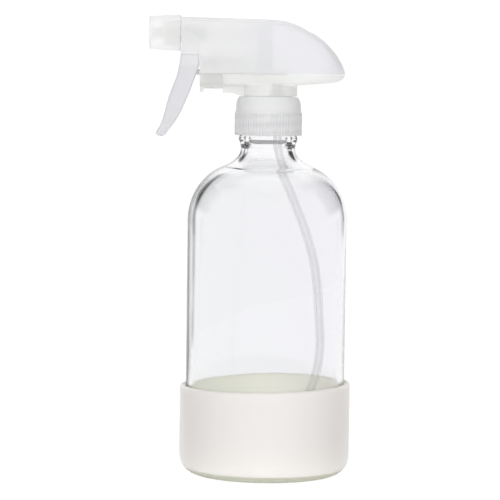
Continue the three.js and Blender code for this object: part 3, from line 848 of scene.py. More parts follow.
# %% Outside of the bottle
GLASS_WALL = 2.6
FLOOR_THICK = 5.5
SHOULDER_Z = 120
SHOULDER_RISE = 27
SHOULDER_CENTRE = 12.5
SHOULDER_SWEEP = 70
NECK_R = 12.8
NECK_BORE = 9
NECK_TOP_Z = 154
THROAT_BORE = 9.8
THROAT_LOW = 125
BEAD_R = 13.9
BEAD_Z = 158
FINISH_R = 12.7


def upper_outline():
    """The shoulder from the side up, and the stretch that turns into the neck."""
    across = GLASS_R - SHOULDER_CENTRE
    shoulder = arc(SHOULDER_CENTRE, SHOULDER_Z, across, SHOULDER_RISE, 0, SHOULDER_SWEEP, 40)
    sweep = math.radians(SHOULDER_SWEEP)
    slope = SHOULDER_RISE * math.cos(sweep) / (across * math.sin(sweep))
    corner_z = shoulder[-1][1] + slope * (shoulder[-1][0] - NECK_R)
    neck = bend(shoulder[-1], (NECK_R, corner_z), (NECK_R, NECK_TOP_Z), 24)
    return shoulder, neck


def bottle_outside():
    heel = GLASS_R - HEEL_RADIUS
    shoulder, neck = upper_outline()
    return [
        (0, GLASS_BOTTOM + 1.8),
        *bend((0, GLASS_BOTTOM + 1.8), (22, GLASS_BOTTOM + 1.8), (heel - 2, GLASS_BOTTOM), 10),
        *arc(heel, GLASS_BOTTOM + HEEL_RADIUS, HEEL_RADIUS, HEEL_RADIUS, -90, 0, 14),
        *straight((GLASS_R, GLASS_BOTTOM + HEEL_RADIUS), (GLASS_R, SHOULDER_Z), 30)[:-1],
        *shoulder,
        *neck,
        *bend(neck[-1], (NECK_R + 0.2, BEAD_Z - 2), (BEAD_R, BEAD_Z), 8),
        *bend((BEAD_R, BEAD_Z), (BEAD_R, BEAD_Z + 1.6), (FINISH_R, BEAD_Z + 2.4), 8),
        *straight((FINISH_R, BEAD_Z + 2.4), (FINISH_R, FINISH_TOP - 1), 40),
        *arc(FINISH_R - 1, FINISH_TOP - 1, 1, 1, 0, 90, 5)[1:],
    ]


print("outside of the bottle:", len(bottle_outside()), "points")


# %% Inside of the bottle
def ease(value, low, high):
    """0 below low, 1 above high and a smooth rise between."""
    share = min(max((value - low) / (high - low), 0), 1)
    return share * share * (3 - 2 * share)


def wall_at(z):
    """Thickness of the glass, thicker in the neck than in the shoulder and the side."""
    return GLASS_WALL + (NECK_R - THROAT_BORE - GLASS_WALL) * ease(z, THROAT_LOW, NECK_TOP_Z)


def moved_in(points):
    """A stretch of outline moved inwards by the thickness of the wall."""
    out = []
    for before, here, after in zip(points, points[1:], points[2:]):
        along = (Vector(after) - Vector(before)).normalized()
        wall = wall_at(here[1])
        out.append((here[0] - along.y * wall, here[1] + along.x * wall))
    return out


def bottle_inside():
    inner = GLASS_R - GLASS_WALL
    floor = GLASS_BOTTOM + FLOOR_THICK
    shoulder, neck = upper_outline()
    throat = moved_in([(GLASS_R, SHOULDER_Z - 1), *shoulder, *neck, (NECK_R, NECK_TOP_Z + 1)])
    return [
        *arc(NECK_BORE + 0.8, FINISH_TOP - 0.8, 0.8, 0.8, 90, 180, 5),
        *bend((NECK_BORE, FINISH_TOP - 0.8), (NECK_BORE, BEAD_Z + 1), throat[-1], 16)[:-1],
        *reversed(throat),
        *straight((inner, SHOULDER_Z), (inner, floor + HEEL_RADIUS), 30)[1:],
        *arc(inner - HEEL_RADIUS, floor + HEEL_RADIUS, HEEL_RADIUS, HEEL_RADIUS, 0, -90, 14)[1:],
        *bend((inner - HEEL_RADIUS, floor), (15, floor + 1.2), (0, floor + 1.2), 10),
    ]


print("inside of the bottle:", len(bottle_inside()), "points")

# %% [markdown]
# Blown glass is uneven on its inside, where no mould touched it. The inside wall gets slow waves of
# about a fifth of a millimetre, up to twice that low down, and stands a little to one side, so that
# the wall is thicker on the nozzle's side. The normals are copied before any point moves.

# %% Uneven inside and the finished bottle
WAVE_DEPTH = 0.22
WALL_SHIFT = 0.8
WAVES_ACROSS = 0.03
WAVES_ALONG = 0.011


def make_inside_uneven(piece):
    ways = [vertex.normal.copy() for vertex in piece.data.vertices]
    for vertex, way in zip(piece.data.vertices, ways):
        x, y, z = vertex.co / MM
        if way.x * x + way.y * y >= 0 or not 12 < z < NECK_TOP_Z:
            continue
        depth = WAVE_DEPTH * (1 + 1.5 * (1 - ease(z, 45, 80)))
        spot = Vector((x * WAVES_ACROSS, y * WAVES_ACROSS, z * WAVES_ALONG))
        share = 1 + noise.noise(spot) * depth / math.hypot(x, y)
        shift = WALL_SHIFT * ease(z, 30, 110) * (1 - ease(z, 138, NECK_TOP_Z))
        vertex.co = Vector((x * share + shift, y * share, z)) * MM


bottle = turned("glass_bottle", [*bottle_outside(), *bottle_inside()], 192)
make_inside_uneven(bottle)
sizes = {**THREAD, "Height": 1.05 * MM, "Half width": 1.15 * MM,
         "Wall low": (FINISH_R - 0.1) * MM, "Wall high": (FINISH_R + 0.1) * MM}
run_tree(bottle, THREAD_TREE, sizes, CLEAR_GLASS)
finish_piece(bottle, CLEAR_GLASS, "bottle", "clear_glass", "bottle")

# %% [markdown]
# ## Screw collar
# A thin ribbed cap with a smooth shoulder and a lip that reaches in over the pump's flange. The rib
# tree cuts the valleys between the ribs, and the thread tree raises the inside thread, half a pitch
# below the one on the glass.

# %% Collar
COLLAR_BORE = 14.2
COLLAR_MOUTH = 11.8
COLLAR_LIP_Z = 174.6
RIB_DEPTH = 0.3
RIB_COUNT = 66


def collar_outline():
    low, high = collar_low.z, collar_high.z
    smooth_r = COLLAR_R - 0.4
    shoulder = bend((smooth_r - 0.1, 173.5), (smooth_r - 0.3, 176.6), (13.7, high), 12)
    return [
        (COLLAR_BORE + 0.3, low),
        (COLLAR_R - 0.5, low),
        *arc(COLLAR_R - 0.5, low + 0.5, 0.5, 0.5, -90, 0, 5)[1:],
        *straight((COLLAR_R, low + 0.5), (COLLAR_R, RIB_TOP - 0.4), 26),
        *bend((COLLAR_R, RIB_TOP - 0.4), (COLLAR_R, RIB_TOP), (smooth_r, RIB_TOP + 0.4), 5),
        *straight((smooth_r, RIB_TOP + 0.4), (smooth_r - 0.1, 173.5), 4),
        *shoulder,
        (COLLAR_MOUTH + 0.4, high),
        (COLLAR_MOUTH, high - 0.4),
        (COLLAR_MOUTH, COLLAR_LIP_Z),
        (COLLAR_BORE - 0.6, COLLAR_LIP_Z),
        (COLLAR_BORE, COLLAR_LIP_Z - 0.6),
        *straight((COLLAR_BORE, COLLAR_LIP_Z - 0.6), (COLLAR_BORE, low + 0.4), 44),
        (COLLAR_BORE + 0.3, low),
    ]


collar = turned("screw_collar", collar_outline(), RIB_COUNT * 6)
sizes = {"Count": RIB_COUNT, "Depth": RIB_DEPTH * MM, "Bottom": (collar_low.z + 0.3) * MM,
         "Top": RIB_TOP * MM, "Wall low": (COLLAR_R - 0.1) * MM}
run_tree(collar, RIB_TREE, sizes, COLLAR_PLASTIC)
sizes = {**THREAD, "Start": COLLAR_THREAD_START, "Height": -1.0 * MM,
         "Half width": 1.1 * MM, "Wall low": (COLLAR_BORE - 0.1) * MM,
         "Wall high": (COLLAR_BORE + 0.1) * MM}
run_tree(collar, THREAD_TREE, sizes, COLLAR_PLASTIC)
finish_piece(collar, COLLAR_PLASTIC, "collar", "collar_plastic", "collar")

# %% [markdown]
# ## Shroud
# The cover is a long arch, nearly flat on top with tight corners, that sinks and narrows to a rounded
# tail. Each cross-section is an arch with round corners: a small radius gives the boxy front, a larger
# one the round tail. The same rule with smaller sizes makes the hollow, which is then cut out.

# %% Shroud shape
SHROUD_WALL = 1.2
SHROUD_RIM = 188.8
SHROUD_LIFT = 197.5
CYLINDER_FRONT = body_low.x + 16.6
TAIL_X = shroud_high.x
FRONT_X = shroud_low.x
TRAY_FRONT = -21.6
PLAN = [(FRONT_X, 11), (-32, 11.3), (-15, 12.7), (2, 13.4), (16, 12.9), (26, 10.6)]
TAIL_PLAN = [(26, 10.6), (29.6, 8.85), (32.8, 6.2), (34.9, 3.5), (TAIL_X, 0)]
TOP = [(FRONT_X, 215), (-20, 214.6), (3, 214), (11.3, 212.4), (17.4, 209.5), (23.5, 206.1),
       (28.8, 201.3), (32.3, 197), (34.9, 192.2), (TAIL_X, SHROUD_RIM)]


def head_width(x):
    """Half of the head's width at x."""
    plan = [*through(PLAN, 6), *through(TAIL_PLAN, 6)[1:]]
    return rate(plan, x)


print(f"shroud from x {FRONT_X:.1f} to {TAIL_X:.1f} mm")

# %% [markdown]
# A cross-section of the cover is an arch: two straight walls, two round corners and a top that
# crowns by half a millimetre. Sections side by side along the head are joined into a solid, and a
# smaller solid of the same kind is cut out to leave the wall.

# %% Arches along the head
CROWN = 0.5


def arch(x, half, foot, peak, corner, steps=8):
    """An arch across the head at x, from foot on one side over peak to foot on the other."""
    way = math.copysign(1, peak - foot)
    rise = abs(peak - foot)
    radius = max(min(corner, 0.8 * half, 0.8 * rise), 0.01)
    crown = min(CROWN, 0.15 * rise)
    flat = half - radius
    side = [(half, (rise - crown - radius) * i / 4) for i in range(4)]
    side += arc(flat, rise - crown - radius, radius, radius, 0, 90, steps)
    top = [flat * (1 - i / 6) for i in range(1, 7)]
    side += [(y, rise - crown * (y / flat) ** 2 if flat > 0 else rise) for y in top]
    whole = side + [(-y, z) for y, z in reversed(side[:-1])]
    return [(x, y, foot + way * z) for y, z in whole]


def stations(start, end, count):
    """Places along x, closer together towards the tail."""
    return [start + (end - start) * math.sin(math.pi / 2 * i / count) for i in range(count + 1)]


def inset(curve, x, wall, shape_end):
    """A curve of the head moved inwards by a wall, measured along x near the tail."""
    share = min(max((x - 18) / (shape_end - wall - 18), 0), 1)
    share = share * share * (3 - 2 * share)
    return curve(x + wall * share) - wall * (1 - share)


TOP_CURVE = [*TOP[:1], *through(TOP[1:], 6)]


def top_height(x):
    return rate(TOP_CURVE, x)


def corner_radius(x):
    return rate([(FRONT_X, 1.9), (0, 2.2), (20, 3.4), (30, 4.5)], x)


print("arches ready")


# %% Shroud
outer_rows = [arch(x, head_width(x), SHROUD_RIM, top_height(x), corner_radius(x))
              for x in stations(FRONT_X, TAIL_X - 0.02, 72)]
inner_rows = []
for x in stations(FRONT_X - 2, TAIL_X - SHROUD_WALL - 0.02, 60):
    half = max(inset(head_width, x, SHROUD_WALL, TAIL_X), 0.02)
    peak = inset(top_height, x, SHROUD_WALL, TAIL_X)
    inner_rows.append(arch(x, half, SHROUD_RIM - 3, peak, max(corner_radius(x) - 0.9, 0.8)))
shroud = lofted("head_shroud", outer_rows)
cuts = [lofted("hollow", inner_rows),
        block("lift", (FRONT_X - 3, -20, SHROUD_RIM - 4), (CYLINDER_FRONT, 20, SHROUD_LIFT))]
combine(shroud, cuts, "DIFFERENCE")


def round_edges(piece, width, segments=2, angle=50):
    """Rounds the edges of a piece whose curved faces are fine already."""
    modifier = piece.modifiers.new("round", "BEVEL")
    modifier.width = width * MM
    modifier.segments = segments
    modifier.limit_method = "ANGLE"
    modifier.angle_limit = math.radians(angle)
    bake(piece)
    smooth(piece, 40)
    return piece


round_edges(shroud, 0.3)
finish_piece(shroud, SHROUD_PLASTIC, "head", "shroud_plastic", "shroud")

# %% [markdown]
# ## Pump body
# One moulding holds every working part: the base that the collar grips, an open tray below the
# shroud, the cylinder, the riser, the barrel and the trigger's pin. It shows as the ledge under the
# shroud, and as soft shadows through it, so its hollows matter less than its outside.

# %% Pump body
CYLINDER_R = 7.7
CYLINDER_BORE = 6.2
CYLINDER_BACK = -10
RISER_X = -2.2
BARREL_RADIUS = 4.2
TRAY_TOP = SHROUD_RIM - GAP
TRAY_LINE = [(TRAY_FRONT, 182.6), (12, 182.6), (14.1, 183.6), (28.9, 184.7), (32.4, 185.4),
             (34.6, 186.6), (TAIL_X, TRAY_TOP)]


def tray_depth(x):
    return rate(TRAY_LINE, x)


def make_tray():
    rows = [arch(x, head_width(x), TRAY_TOP, tray_depth(x), 1.6)
            for x in stations(TRAY_FRONT, TAIL_X - 0.02, 50)]
    hollow = []
    for x in stations(TRAY_FRONT + SHROUD_WALL, TAIL_X - SHROUD_WALL - 0.02, 40):
        half = max(inset(head_width, x, SHROUD_WALL, TAIL_X), 0.02)
        depth = min(tray_depth(x) + SHROUD_WALL, TRAY_TOP - 0.1)
        hollow.append(arch(x, half, TRAY_TOP + 3, depth, 1.0))
    return combine(lofted("tray", rows), [lofted("tray_hollow", hollow)], "DIFFERENCE")


flange_z = body_low.z
base_outline = [
    (0, flange_z), (12.9, flange_z), (12.9, flange_z + 1.4), (11.5, flange_z + 1.4),
    (11.5, 178.4), (13.0, 178.4), (13.4, 178.8), (13.4, 184), (12.9, 184.5), (0, 184.5),
]
body = turned("pump_body_fine", base_outline, 96)
gusset = [(TRAY_FRONT, 184), (TRAY_FRONT, 179.7), (-17.6, 179.7), (-13, 178.4), (-8, 178.4), (-8, 184)]
barrel = [(0, body_low.x), (5, body_low.x), (5, -40.5), (BARREL_RADIUS, -39.5), (BARREL_RADIUS, 1.2),
          (3.8, 1.6), (0, 1.6)]
solids = [
    make_tray(),
    turned_on_x("cylinder", rod(CYLINDER_R, CYLINDER_FRONT, -6.5), CYLINDER_Z),
    block("foot", (CYLINDER_FRONT, -3, 179.8), (CYLINDER_FRONT + 1.9, 3, 183)),
    slab("gusset", gusset, -6.5, 6.5, "y"),
    turned("inlet_tower", rod(4.6, 180, 190.2), 48, INLET_X),
    turned("riser", rod(3.8, 183, BARREL_Z + 3.8), 48, RISER_X),
    block("bridge", (-9, -3.4, 184), (INLET_X, 3.4, 190.2)),
    turned_on_x("barrel", barrel, BARREL_Z),
    block("rib", (-27, -0.8, 195), (-3, 0.8, 204.5)),
    slab("pin", [(PIVOT.x + x, z) for x, z in arc(0, PIVOT.z, 1.8, 1.8, 0, 350, 35)],
         -9.3, 9.3, "y"),
]
combine(body, solids, "UNION")
print("pump body joined:", len(body.data.polygons), "faces")

# %% Pump body passages
inlet = [(0, 174), (3.5, 174), (3.5, 180.8), (2.5, 180.8), (2.5, 185.5), (1.2, 185.5), (1.2, 188),
         (0, 188)]
bore = [(0, body_low.x - 1), (3.1, body_low.x - 1), (3.1, -30), (1.6, -30), (1.6, RISER_X + 1),
        (0, RISER_X + 1)]
passages = [
    turned("cavity", rod(9.8, flange_z - 1, 176), 64),
    turned("inlet", inlet, 32, INLET_X),
    turned_on_x("duct", rod(1.1, CYLINDER_BACK - 1, INLET_X + 0.8), 187.9, 24),
    turned("riser_bore", rod(1.2, 187.9, BARREL_Z), 24, RISER_X),
    turned_on_x("barrel_bore", bore, BARREL_Z, 40),
    turned_on_x("bore", rod(CYLINDER_BORE, CYLINDER_FRONT - 1, CYLINDER_BACK), CYLINDER_Z),
    turned_on_x("groove", ring(4, 7, -46.95, -45.05), BARREL_Z),
]
combine(body, passages, "DIFFERENCE")
soften(body, 0.22, 2, 50)
finish_piece(body, BODY_PLASTIC, "head", "body_plastic", "pump_body")

# %% [markdown]
# ## Trigger
# A channel open to the rear. Its slices run from the front edge to the rear edge, narrow towards the
# tip, and have round front corners where the fingers rest. A second set of slices is cut out as the
# channel, and a cut through the top leaves two ears on the pin.

# %% Slices of the trigger
TRIGGER_HALF = 9.3
TRIGGER_TIP = 6.6
EAR_R = 3.4
FRONT_EDGE = [(-52.9, 160.4), (-49.7, 166.6), (-46.6, 178), (-42.9, 187.9), (-41.2, 197.8)]
REAR_EDGE = [(-48.8, 159.5), (-42.7, 168.1), (-38.1, 178.2), (-34.8, 187), (-32.8, 193)]


def trigger_half(z):
    return rate([(158, TRIGGER_TIP), (186, TRIGGER_HALF), (210, TRIGGER_HALF)], z)


def slice_outline(length, half, front_r, rear_r, steps=6):
    """A rounded rectangle, as (place from front to rear, place across)."""
    front_r = min(front_r, 0.45 * length)
    rear_r = min(rear_r, 0.45 * length)
    return [
        *arc(front_r, -half + front_r, front_r, front_r, 180, 270, steps),
        *arc(length - rear_r, -half + rear_r, rear_r, rear_r, 270, 360, 3),
        *arc(length - rear_r, half - rear_r, rear_r, rear_r, 0, 90, 3),
        *arc(front_r, half - front_r, front_r, front_r, 90, 180, steps),
    ]


def trigger_slice(front, rear, less, front_r, rear_r):
    """A slice of the lever between a front point and a rear point."""
    across = Vector(rear) - Vector(front)
    unit = across.normalized()
    half = trigger_half((front[1] + rear[1]) / 2) - less
    outline = slice_outline(across.length, half, front_r, rear_r)
    return [(front[0] + unit.x * u, v, front[1] + unit.y * u) for u, v in outline]


print("trigger slices ready")

# %% Trigger
fronts = through(FRONT_EDGE, 8)
rears = through(REAR_EDGE, 8)
fronts += [(-40.85, 201), (PIVOT.x - EAR_R, PIVOT.z)]
rears += [(-33.2, 198.6), (PIVOT.x + EAR_R, PIVOT.z)]
for step in range(1, 9):
    turn = math.radians(85 * step / 8)
    fronts.append((PIVOT.x - EAR_R * math.cos(turn), PIVOT.z + EAR_R * math.sin(turn)))
    rears.append((PIVOT.x + EAR_R * math.cos(turn), PIVOT.z + EAR_R * math.sin(turn)))
tip_front = Vector(fronts[0]).lerp(Vector(rears[0]), 0.25) - Vector((0.1, 0.7))
tip_rear = Vector(fronts[0]).lerp(Vector(rears[0]), 0.75) - Vector((0.1, 0.7))
rows = [trigger_slice(tip_front, tip_rear, 1.0, 0.6, 0.3)]
rows += [trigger_slice(f, r, 0, 1.2, 0.3) for f, r in zip(fronts, rears)]
trigger = lofted("trigger_lever", rows)

channel = []
for front, rear in list(zip(fronts, rears))[6:35]:
    inside = (front[0] + 1.8, front[1] - 0.2)
    behind = (rear[0] + 4, rear[1] - 0.6)
    channel.append(trigger_slice(inside, behind, 1.2, 0.8, 0.1))
cuts = [
    lofted("channel", channel),
    block("between_ears", (-56, -8.05, 199.2), (-28, 8.05, 212)),
    slab("pin_hole", [(PIVOT.x + x, z) for x, z in arc(0, PIVOT.z, 2.1, 2.1, 0, 350, 35)],
         -12, 12, "y"),
]
combine(trigger, cuts, "DIFFERENCE")
round_edges(trigger, 0.25)
finish_piece(trigger, TRIGGER_PLASTIC, "trigger", "trigger_plastic", "trigger")

# %% [markdown]
# ## Nozzle
# A square cap with cut corners that narrows to the front, with a round recess and a small insert in
# it. Its slices are eight-cornered, the same at both ends but for their size.

# %% Nozzle cap and insert
NOZZLE_FRONT = nozzle_low.x
NOZZLE_BACK = nozzle_high.x


def nozzle_slice(x, half, cut=2.6):
    flat = half - cut
    corners = [(half, -flat), (half, flat), (flat, half), (-flat, half), (-half, flat),
               (-half, -flat), (-flat, -half), (flat, -half)]
    return [(x, y, BARREL_Z + z) for y, z in corners]


nozzle = lofted("nozzle_cap_fine", [nozzle_slice(NOZZLE_FRONT, 7.6), nozzle_slice(NOZZLE_BACK, 8.4)])
recess = [(0, NOZZLE_FRONT - 1), (4.5, NOZZLE_FRONT - 1), (4, NOZZLE_FRONT + 1.6),
          (0, NOZZLE_FRONT + 1.6)]
cuts = [
    turned_on_x("cap_bore", rod(5.6, -50, NOZZLE_BACK + 1), BARREL_Z),
    turned_on_x("recess", recess, BARREL_Z),
    turned_on_x("insert_seat", rod(2.4, NOZZLE_FRONT, -49), BARREL_Z, 48),
]
combine(nozzle, cuts, "DIFFERENCE")
soften(nozzle, 0.45, 3, 30)
finish_piece(nozzle, NOZZLE_PLASTIC, "nozzle", "nozzle_plastic", "nozzle_cap")
insert = [(0.35, -54.2), (1.9, -54.2), (2.1, -54), (2.1, -50), (1.2, -50), (1.2, -52.6), (0.35, -53.2),
          (0.35, -54.2)]
insert = turned_on_x("orifice_insert", insert, BARREL_Z, 40)
finish_piece(insert, WHITE_PLASTIC, "nozzle", "piston_plastic", "nozzle_insert")

# %% [markdown]
# ## Dip tube
# An extruded tube with a long bend, drawn as a hollow skin: rings of points along a smooth path,
# outside and inside, joined at both ends. The light that runs down its wall is what makes it show.

# %% Dip tube
TUBE_R = 2.1
TUBE_BORE = 1.35
TUBE_ROUTE = [
    (INLET_X, 173.6), (INLET_X, 168), (4.35, 162), (4.9, 154), (5.9, 147.5), (7.5, 141.5), (12, 130),
    (17.9, 114.6), (21.9, 101), (24, 87), (25, 74), (25.7, 62), (24.6, 50), (21.3, 39.4), (17, 26.5),
    (11.5, 13),
]


def rings_along(path, radius, sides):
    """A ring of points round each spot of a path of (x, z) points."""
    points = []
    for i, spot in enumerate(path):
        along = (path[min(i + 1, len(path) - 1)] - path[max(i - 1, 0)]).normalized()
        for side in range(sides):
            turn = 2 * math.pi * side / sides
            out = radius * math.cos(turn)
            points.append((spot.x + along.y * out, radius * math.sin(turn), spot.y - along.x * out))
    return points


def tube_along(name, route, outer, inner, sides=32):
    """A tube along a route of (x, z) points, all in the plane y = 0."""
    path = [Vector(p) for p in through(route, 8)]
    points = rings_along(path, outer, sides) + rings_along(path, inner, sides)
    count = len(path)
    outside = [(row, row + 1) for row in range(count - 1)]
    inside = [(count + row + 1, count + row) for row in range(count - 1)]
    ends = [(0, count), (count - 1, 2 * count - 1)]
    faces = []
    for here, there in outside + inside + ends:
        for side in range(sides):
            after = (side + 1) % sides
            faces.append((here * sides + side, here * sides + after,
                          there * sides + after, there * sides + side))
    return make_piece(name, points, faces, 50)


dip_tube = tube_along("dip_tube_fine", TUBE_ROUTE, TUBE_R, TUBE_BORE)
finish_piece(dip_tube, TUBE_PLASTIC, "head", "tube_plastic", "dip_tube")

# %% [markdown]
# ## Small turned parts
# The parts inside the head hardly show, but each is made as it is: the plug that holds the tube, the
# ball on its seat, the grooved piston with its rings, the poppet, and the seals.

# %% Small parts
retainer = turned("tube_plug", rod(9.4, 172.9, 175.7), 64)
solids = [turned("plug_socket", rod(3.9, 162, 174), 40, INLET_X),
          turned("plug_spigot", rod(3.2, 175, 180.5), 40, INLET_X)]
combine(retainer, solids, "UNION")
combine(retainer, [turned("seat_bore", rod(2.4, 161, 174), 32, INLET_X),
                   turned("throat", rod(1.4, 173, 182), 24, INLET_X)], "DIFFERENCE")
soften(retainer, 0.15, 2)
finish_piece(retainer, BODY_PLASTIC, "head", "body_plastic", "tube_retainer")

ball_z = (mm_box("inlet_ball")[0].z + mm_box("inlet_ball")[1].z) / 2
ball = turned("check_ball", arc(0, ball_z, 2, 2, -90, 90, 18), 32, INLET_X)
finish_piece(ball, BALL_GLASS, "inlet_ball", "ball_glass", "inlet_ball")

piston = [
    *arc(0, -38.8, 1.8, 1.8, -90, 45, 12), (1.3, -37.4), (1.3, -30.8), (5.5, -30.8), (5.7, -30.6),
    (5.7, -30), (4.6, -30), (4.6, -28.4), (5.7, -28.4), (5.7, -26.5), (4.6, -26.5), (4.6, -24.9),
    (5.7, -24.9), (5.7, -24.5), (3.4, -24.5), (3.4, -27.6), (0, -27.6),
]
piston = turned_on_x("pump_piston", piston, CYLINDER_Z, 48)
finish_piece(piston, WHITE_PLASTIC, "piston", "piston_plastic", "piston")

valve = [(0, -34.6), (0.9, -34.6), (1.1, -34.4), (1.1, -31.7), (2.6, -31.7), (2.7, -31.6), (2.7, -30.4),
         (2.6, -30.3), (0, -30.3)]
valve = turned_on_x("outlet_poppet", valve, BARREL_Z, 40)
finish_piece(valve, WHITE_PLASTIC, "discharge_valve", "piston_plastic", "discharge_valve")

gasket = [(9.7, 171.3), (12.7, 171.3), (12.9, 171.5), (12.9, 172.4), (12.7, 172.6), (9.7, 172.6),
          (9.5, 172.4), (9.5, 171.5), (9.7, 171.3)]
gasket = turned("neck_liner", gasket, 96)
finish_piece(gasket, SEAL_FOAM, "head", "seal_foam", "neck_gasket")

for name, node, on_body, height in (
        ("pressure_ring", "piston_seal", "piston", CYLINDER_Z),
        ("vent_ring", "vent_seal", "piston", CYLINDER_Z),
        ("cap_ring", "nozzle_seal", "head", BARREL_Z)):
    low, high = mm_box(node)
    middle = (low.x + high.x) / 2
    path = high.z - height - 0.5
    outline = arc(path, middle, 0.5, 0.5, 0, 360, 16)
    outline[-1] = outline[0]
    made = turned_on_x(name, outline, height, 64)
    finish_piece(made, SEAL_RUBBER, on_body, "seal_rubber", node)

# %% [markdown]
# ## Springs by Geometry Nodes
# A coil spring is the plainest rule of all, a wire along a helix. The Spiral node draws the helix
# from its turns, radius and length, and a circle swept along it makes the wire. Both springs share
# the tree.

# %% Spring tree
def spring_tree():
    graph, given = geometry_tree("coil_spring", ["Turns", "Radius", "Length", "Wire", "X", "Z"])
    spiral = graph.node("GeometryNodeCurveSpiral", inputs={
        "Resolution": 24, "Rotations": given["Turns"], "Start Radius": given["Radius"],
        "End Radius": given["Radius"], "Height": given["Length"]})[0]
    circle = graph.node("GeometryNodeCurvePrimitiveCircle", inputs={
        "Resolution": 10, "Radius": given["Wire"]})["Curve"]
    wire = graph.node("GeometryNodeCurveToMesh", inputs={
        "Curve": spiral, "Profile Curve": circle, "Fill Caps": True})[0]
    place = graph.node("ShaderNodeCombineXYZ", inputs={"X": given["X"], "Z": given["Z"]})[0]
    moved = graph.node("GeometryNodeTransform", inputs={
        "Geometry": wire, "Translation": place, "Rotation": (0, math.pi / 2, 0)})[0]
    return close_tree(graph, given, moved)


SPRING_TREE = spring_tree()
print("tree:", SPRING_TREE.name)

# %% Springs
def make_spring(name, node, turns, wire, body):
    low, high = mm_box(node)
    radius = (high.y - low.y) / 2 - wire
    height = (low.z + high.z) / 2
    sizes = {"Turns": turns, "Radius": radius * MM, "Length": (high.x - low.x - 2 * wire) * MM,
             "Wire": wire * MM, "X": (low.x + wire) * MM, "Z": height * MM}
    mesh = bpy.data.meshes.new(name)
    spring = bpy.data.objects.new(name, mesh)
    bpy.context.scene.collection.objects.link(spring)
    run_tree(spring, SPRING_TREE, sizes, SPRING_STEEL)
    finish_piece(spring, SPRING_STEEL, body, "spring_steel", node)
    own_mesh(spring)


make_spring("piston_return_spring", "piston_spring", 7, 0.4, "head")
make_spring("valve_spring", "discharge_spring", 4, 0.25, "head")

# %% Finish for the spinner
spinner = frame["nodes"]["barrel_spinner"]
spinner.data.materials.clear()
spinner.data.materials.append(WHITE_PLASTIC)
print("spinner finished in", WHITE_PLASTIC.name)

# %% [markdown]
# ## Floor
# A plain pale floor. It gives off a little light of its own, so that no shadow falls on it.

# %% Floor
FLOOR_WIDTH = 900
FLOOR_DEPTH = 1800


def make_floor():
    half, deep = FLOOR_WIDTH / 2, FLOOR_DEPTH / 2
    points = [(-half, -deep, 0), (half, -deep, 0), (half, deep, 0), (-half, deep, 0)]
    floor = make_piece("floor", points, [(0, 1, 2, 3)])
    even = {"Roughness": 0.9, "Emission Color": (1, 1, 1, 1), "Emission Strength": 0.96}
    material, graph, shader = start_material("floor_white", even)
    cloud = noise_at(graph, object_coordinates(graph), 3, 2)
    tone = blend_colours(graph, cloud, (0.08, 0.08, 0.08), (0.1, 0.1, 0.1))
    feed(graph, shader, "Base Color", tone)
    floor.data.materials.append(material)
    return floor


floor = make_floor()
print("floor", FLOOR_WIDTH, "by", FLOOR_DEPTH, "mm")

# %% [markdown]
# ## World
# Clear glass is lit from behind: a bright field shows through it, and darker ground at the sides
# draws its edges. Three kinds of ray see three different worlds here, which no real room can do.
# The camera sees plain white. Diffuse light comes from a room that is dim at the sides. Reflected
# and refracted rays see a bright field with a dark strip at each side and a dark card high up on
# each side. The strips and cards were placed by trial, so that the lines in the glass fall well.

# %% Parts of the world
STRIPS = [(0.0, 1.0), (0.42, 1.0), (0.5, 0.6), (0.57, 0.22), (0.64, 0.3), (0.75, 1.0)]
ROOM_SIDES = [(0.0, 1.0), (0.4, 0.95), (0.7, 0.45), (0.9, 0.15)]
FIELD_LIGHT = 1.06
FRONT_LIGHT = 1.05
CAMERA_WHITE = 1.05
RIGHT_CARD = 0.97
LEFT_CARD = 0.8


def grey_ramp(graph, value, stops):
    shade = graph.node("ShaderNodeValToRGB", {"stops": stops}, {0: value})[0]
    return graph.node("ShaderNodeRGBToBW", inputs={0: shade})[0]


def bright_field(graph, x, y, z):
    """The field behind the bottle, with its strips and cards, and an even light in front."""
    fade = ((z + 0.07) * 50.0).clamped()
    strips = 1.0 - (1.0 - grey_ramp(graph, x.math("ABSOLUTE"), STRIPS)) * fade
    high = ((z - 0.08) * 10.0).clamped() * ((0.75 - z) * 6.0).clamped() * (y * 4.0).clamped()
    right_card = high * ((x - 0.34) * 10.0).clamped() * RIGHT_CARD
    left_card = high * ((x * -1.0 - 0.32) * 10.0).clamped() * LEFT_CARD
    field = strips * (1.0 - right_card) * (1.0 - left_card) * FIELD_LIGHT
    back = (y * 4.0 + 0.5).clamped()
    return field * back + (1.0 - back) * FRONT_LIGHT


def soft_room(graph, x, y):
    """The room that diffuse light comes from, brightest in front."""
    sides = grey_ramp(graph, x.math("ABSOLUTE"), ROOM_SIDES)
    return sides * (0.55 + (y * -1.0).clamped() * 0.4) + y.clamped() * 0.3


print("parts of the world ready")


# %% World
def studio_world():
    world = bpy.data.worlds.new("studio")
    bpy.context.scene.world = world
    world.use_nodes = True
    world.node_tree.nodes.clear()
    graph = Graph(world.node_tree)
    parts = split(graph, graph.node("ShaderNodeTexCoord")["Generated"])
    x, y, z = parts["X"], parts["Y"], parts["Z"]
    path = graph.node("ShaderNodeLightPath")
    camera_ray = path["Is Camera Ray"]
    diffuse_ray = path["Is Diffuse Ray"] * (1.0 - camera_ray)
    other_ray = 1.0 - camera_ray - diffuse_ray
    shown = camera_ray * CAMERA_WHITE + diffuse_ray * soft_room(graph, x, y)
    shown = shown + other_ray * bright_field(graph, x, y, z)
    light = graph.node("ShaderNodeBackground", inputs={"Strength": shown, "Color": (1, 1, 1, 1)})[0]
    graph.node("ShaderNodeOutputWorld", inputs={"Surface": light})
    return world


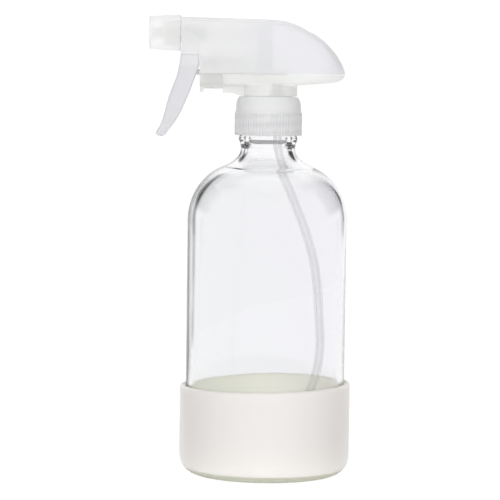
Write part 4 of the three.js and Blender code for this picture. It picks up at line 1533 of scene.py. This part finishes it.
print("world:", studio_world().name)

# %% [markdown]
# ## Lights
# Two large soft lights fill the front and the top. The sleeve needs more light than the rest to look
# as pale as it should, so three more lights are linked to it alone.

# %% Soft lights
def area_light(name, place, target, size, power, colour=(1, 1, 1)):
    light = bpy.data.lights.new(name, "AREA")
    light.shape = "RECTANGLE"
    light.size, light.size_y = size
    light.energy = power
    light.color = colour
    lamp = bpy.data.objects.new(name, light)
    bpy.context.scene.collection.objects.link(lamp)
    way = (Vector(target) - Vector(place)).to_track_quat("-Z", "Y").to_matrix().to_4x4()
    lamp.matrix_world = Matrix.Translation(Vector(place)) @ way
    return lamp


def hide_from(lamp, *rays):
    for ray in rays:
        setattr(lamp, f"visible_{ray}", False)


top_soft = area_light("top_soft", (0, -0.3, 1.4), (0, 0, 0.1), (1.2, 1.0), 2)
front_soft = area_light("front_soft", (-0.1, -1.8, 0.7), (0, 0, 0.12), (1.0, 0.9), 11)
hide_from(top_soft, "transmission")
hide_from(front_soft, "transmission", "glossy")
print("lights:", top_soft.name, front_soft.name)

# %% Lights for the sleeve alone
SLEEVE_MIDDLE = (0, 0, 0.03)
SLEEVE_WARM = (1, 0.985, 0.98)

sleeve_only = bpy.data.collections.new("sleeve_only")
sleeve_only.objects.link(sleeve)
sleeve_lights = [
    area_light("sleeve_front", (0, -1.4, 0.2), SLEEVE_MIDDLE, (0.3, 0.3), 3.4, SLEEVE_WARM)
]
for side in (-1, 1):
    back_light = area_light(
        f"sleeve_back_{side}", (0.45 * side, 0.7, 0.3), SLEEVE_MIDDLE, (0.4, 0.5), 7)
    hide_from(back_light, "camera")
    sleeve_lights.append(back_light)
for lamp in sleeve_lights:
    lamp.light_linking.receiver_collection = sleeve_only
    hide_from(lamp, "transmission", "glossy")
print("lights on the sleeve alone:", len(sleeve_lights))

# %% View settings
view = bpy.context.scene.view_settings
view.view_transform = "Standard"
view.look = "None"
view.exposure = 0
view.gamma = 1
print("view transform:", view.view_transform)

# %% Finish
print("scene built")
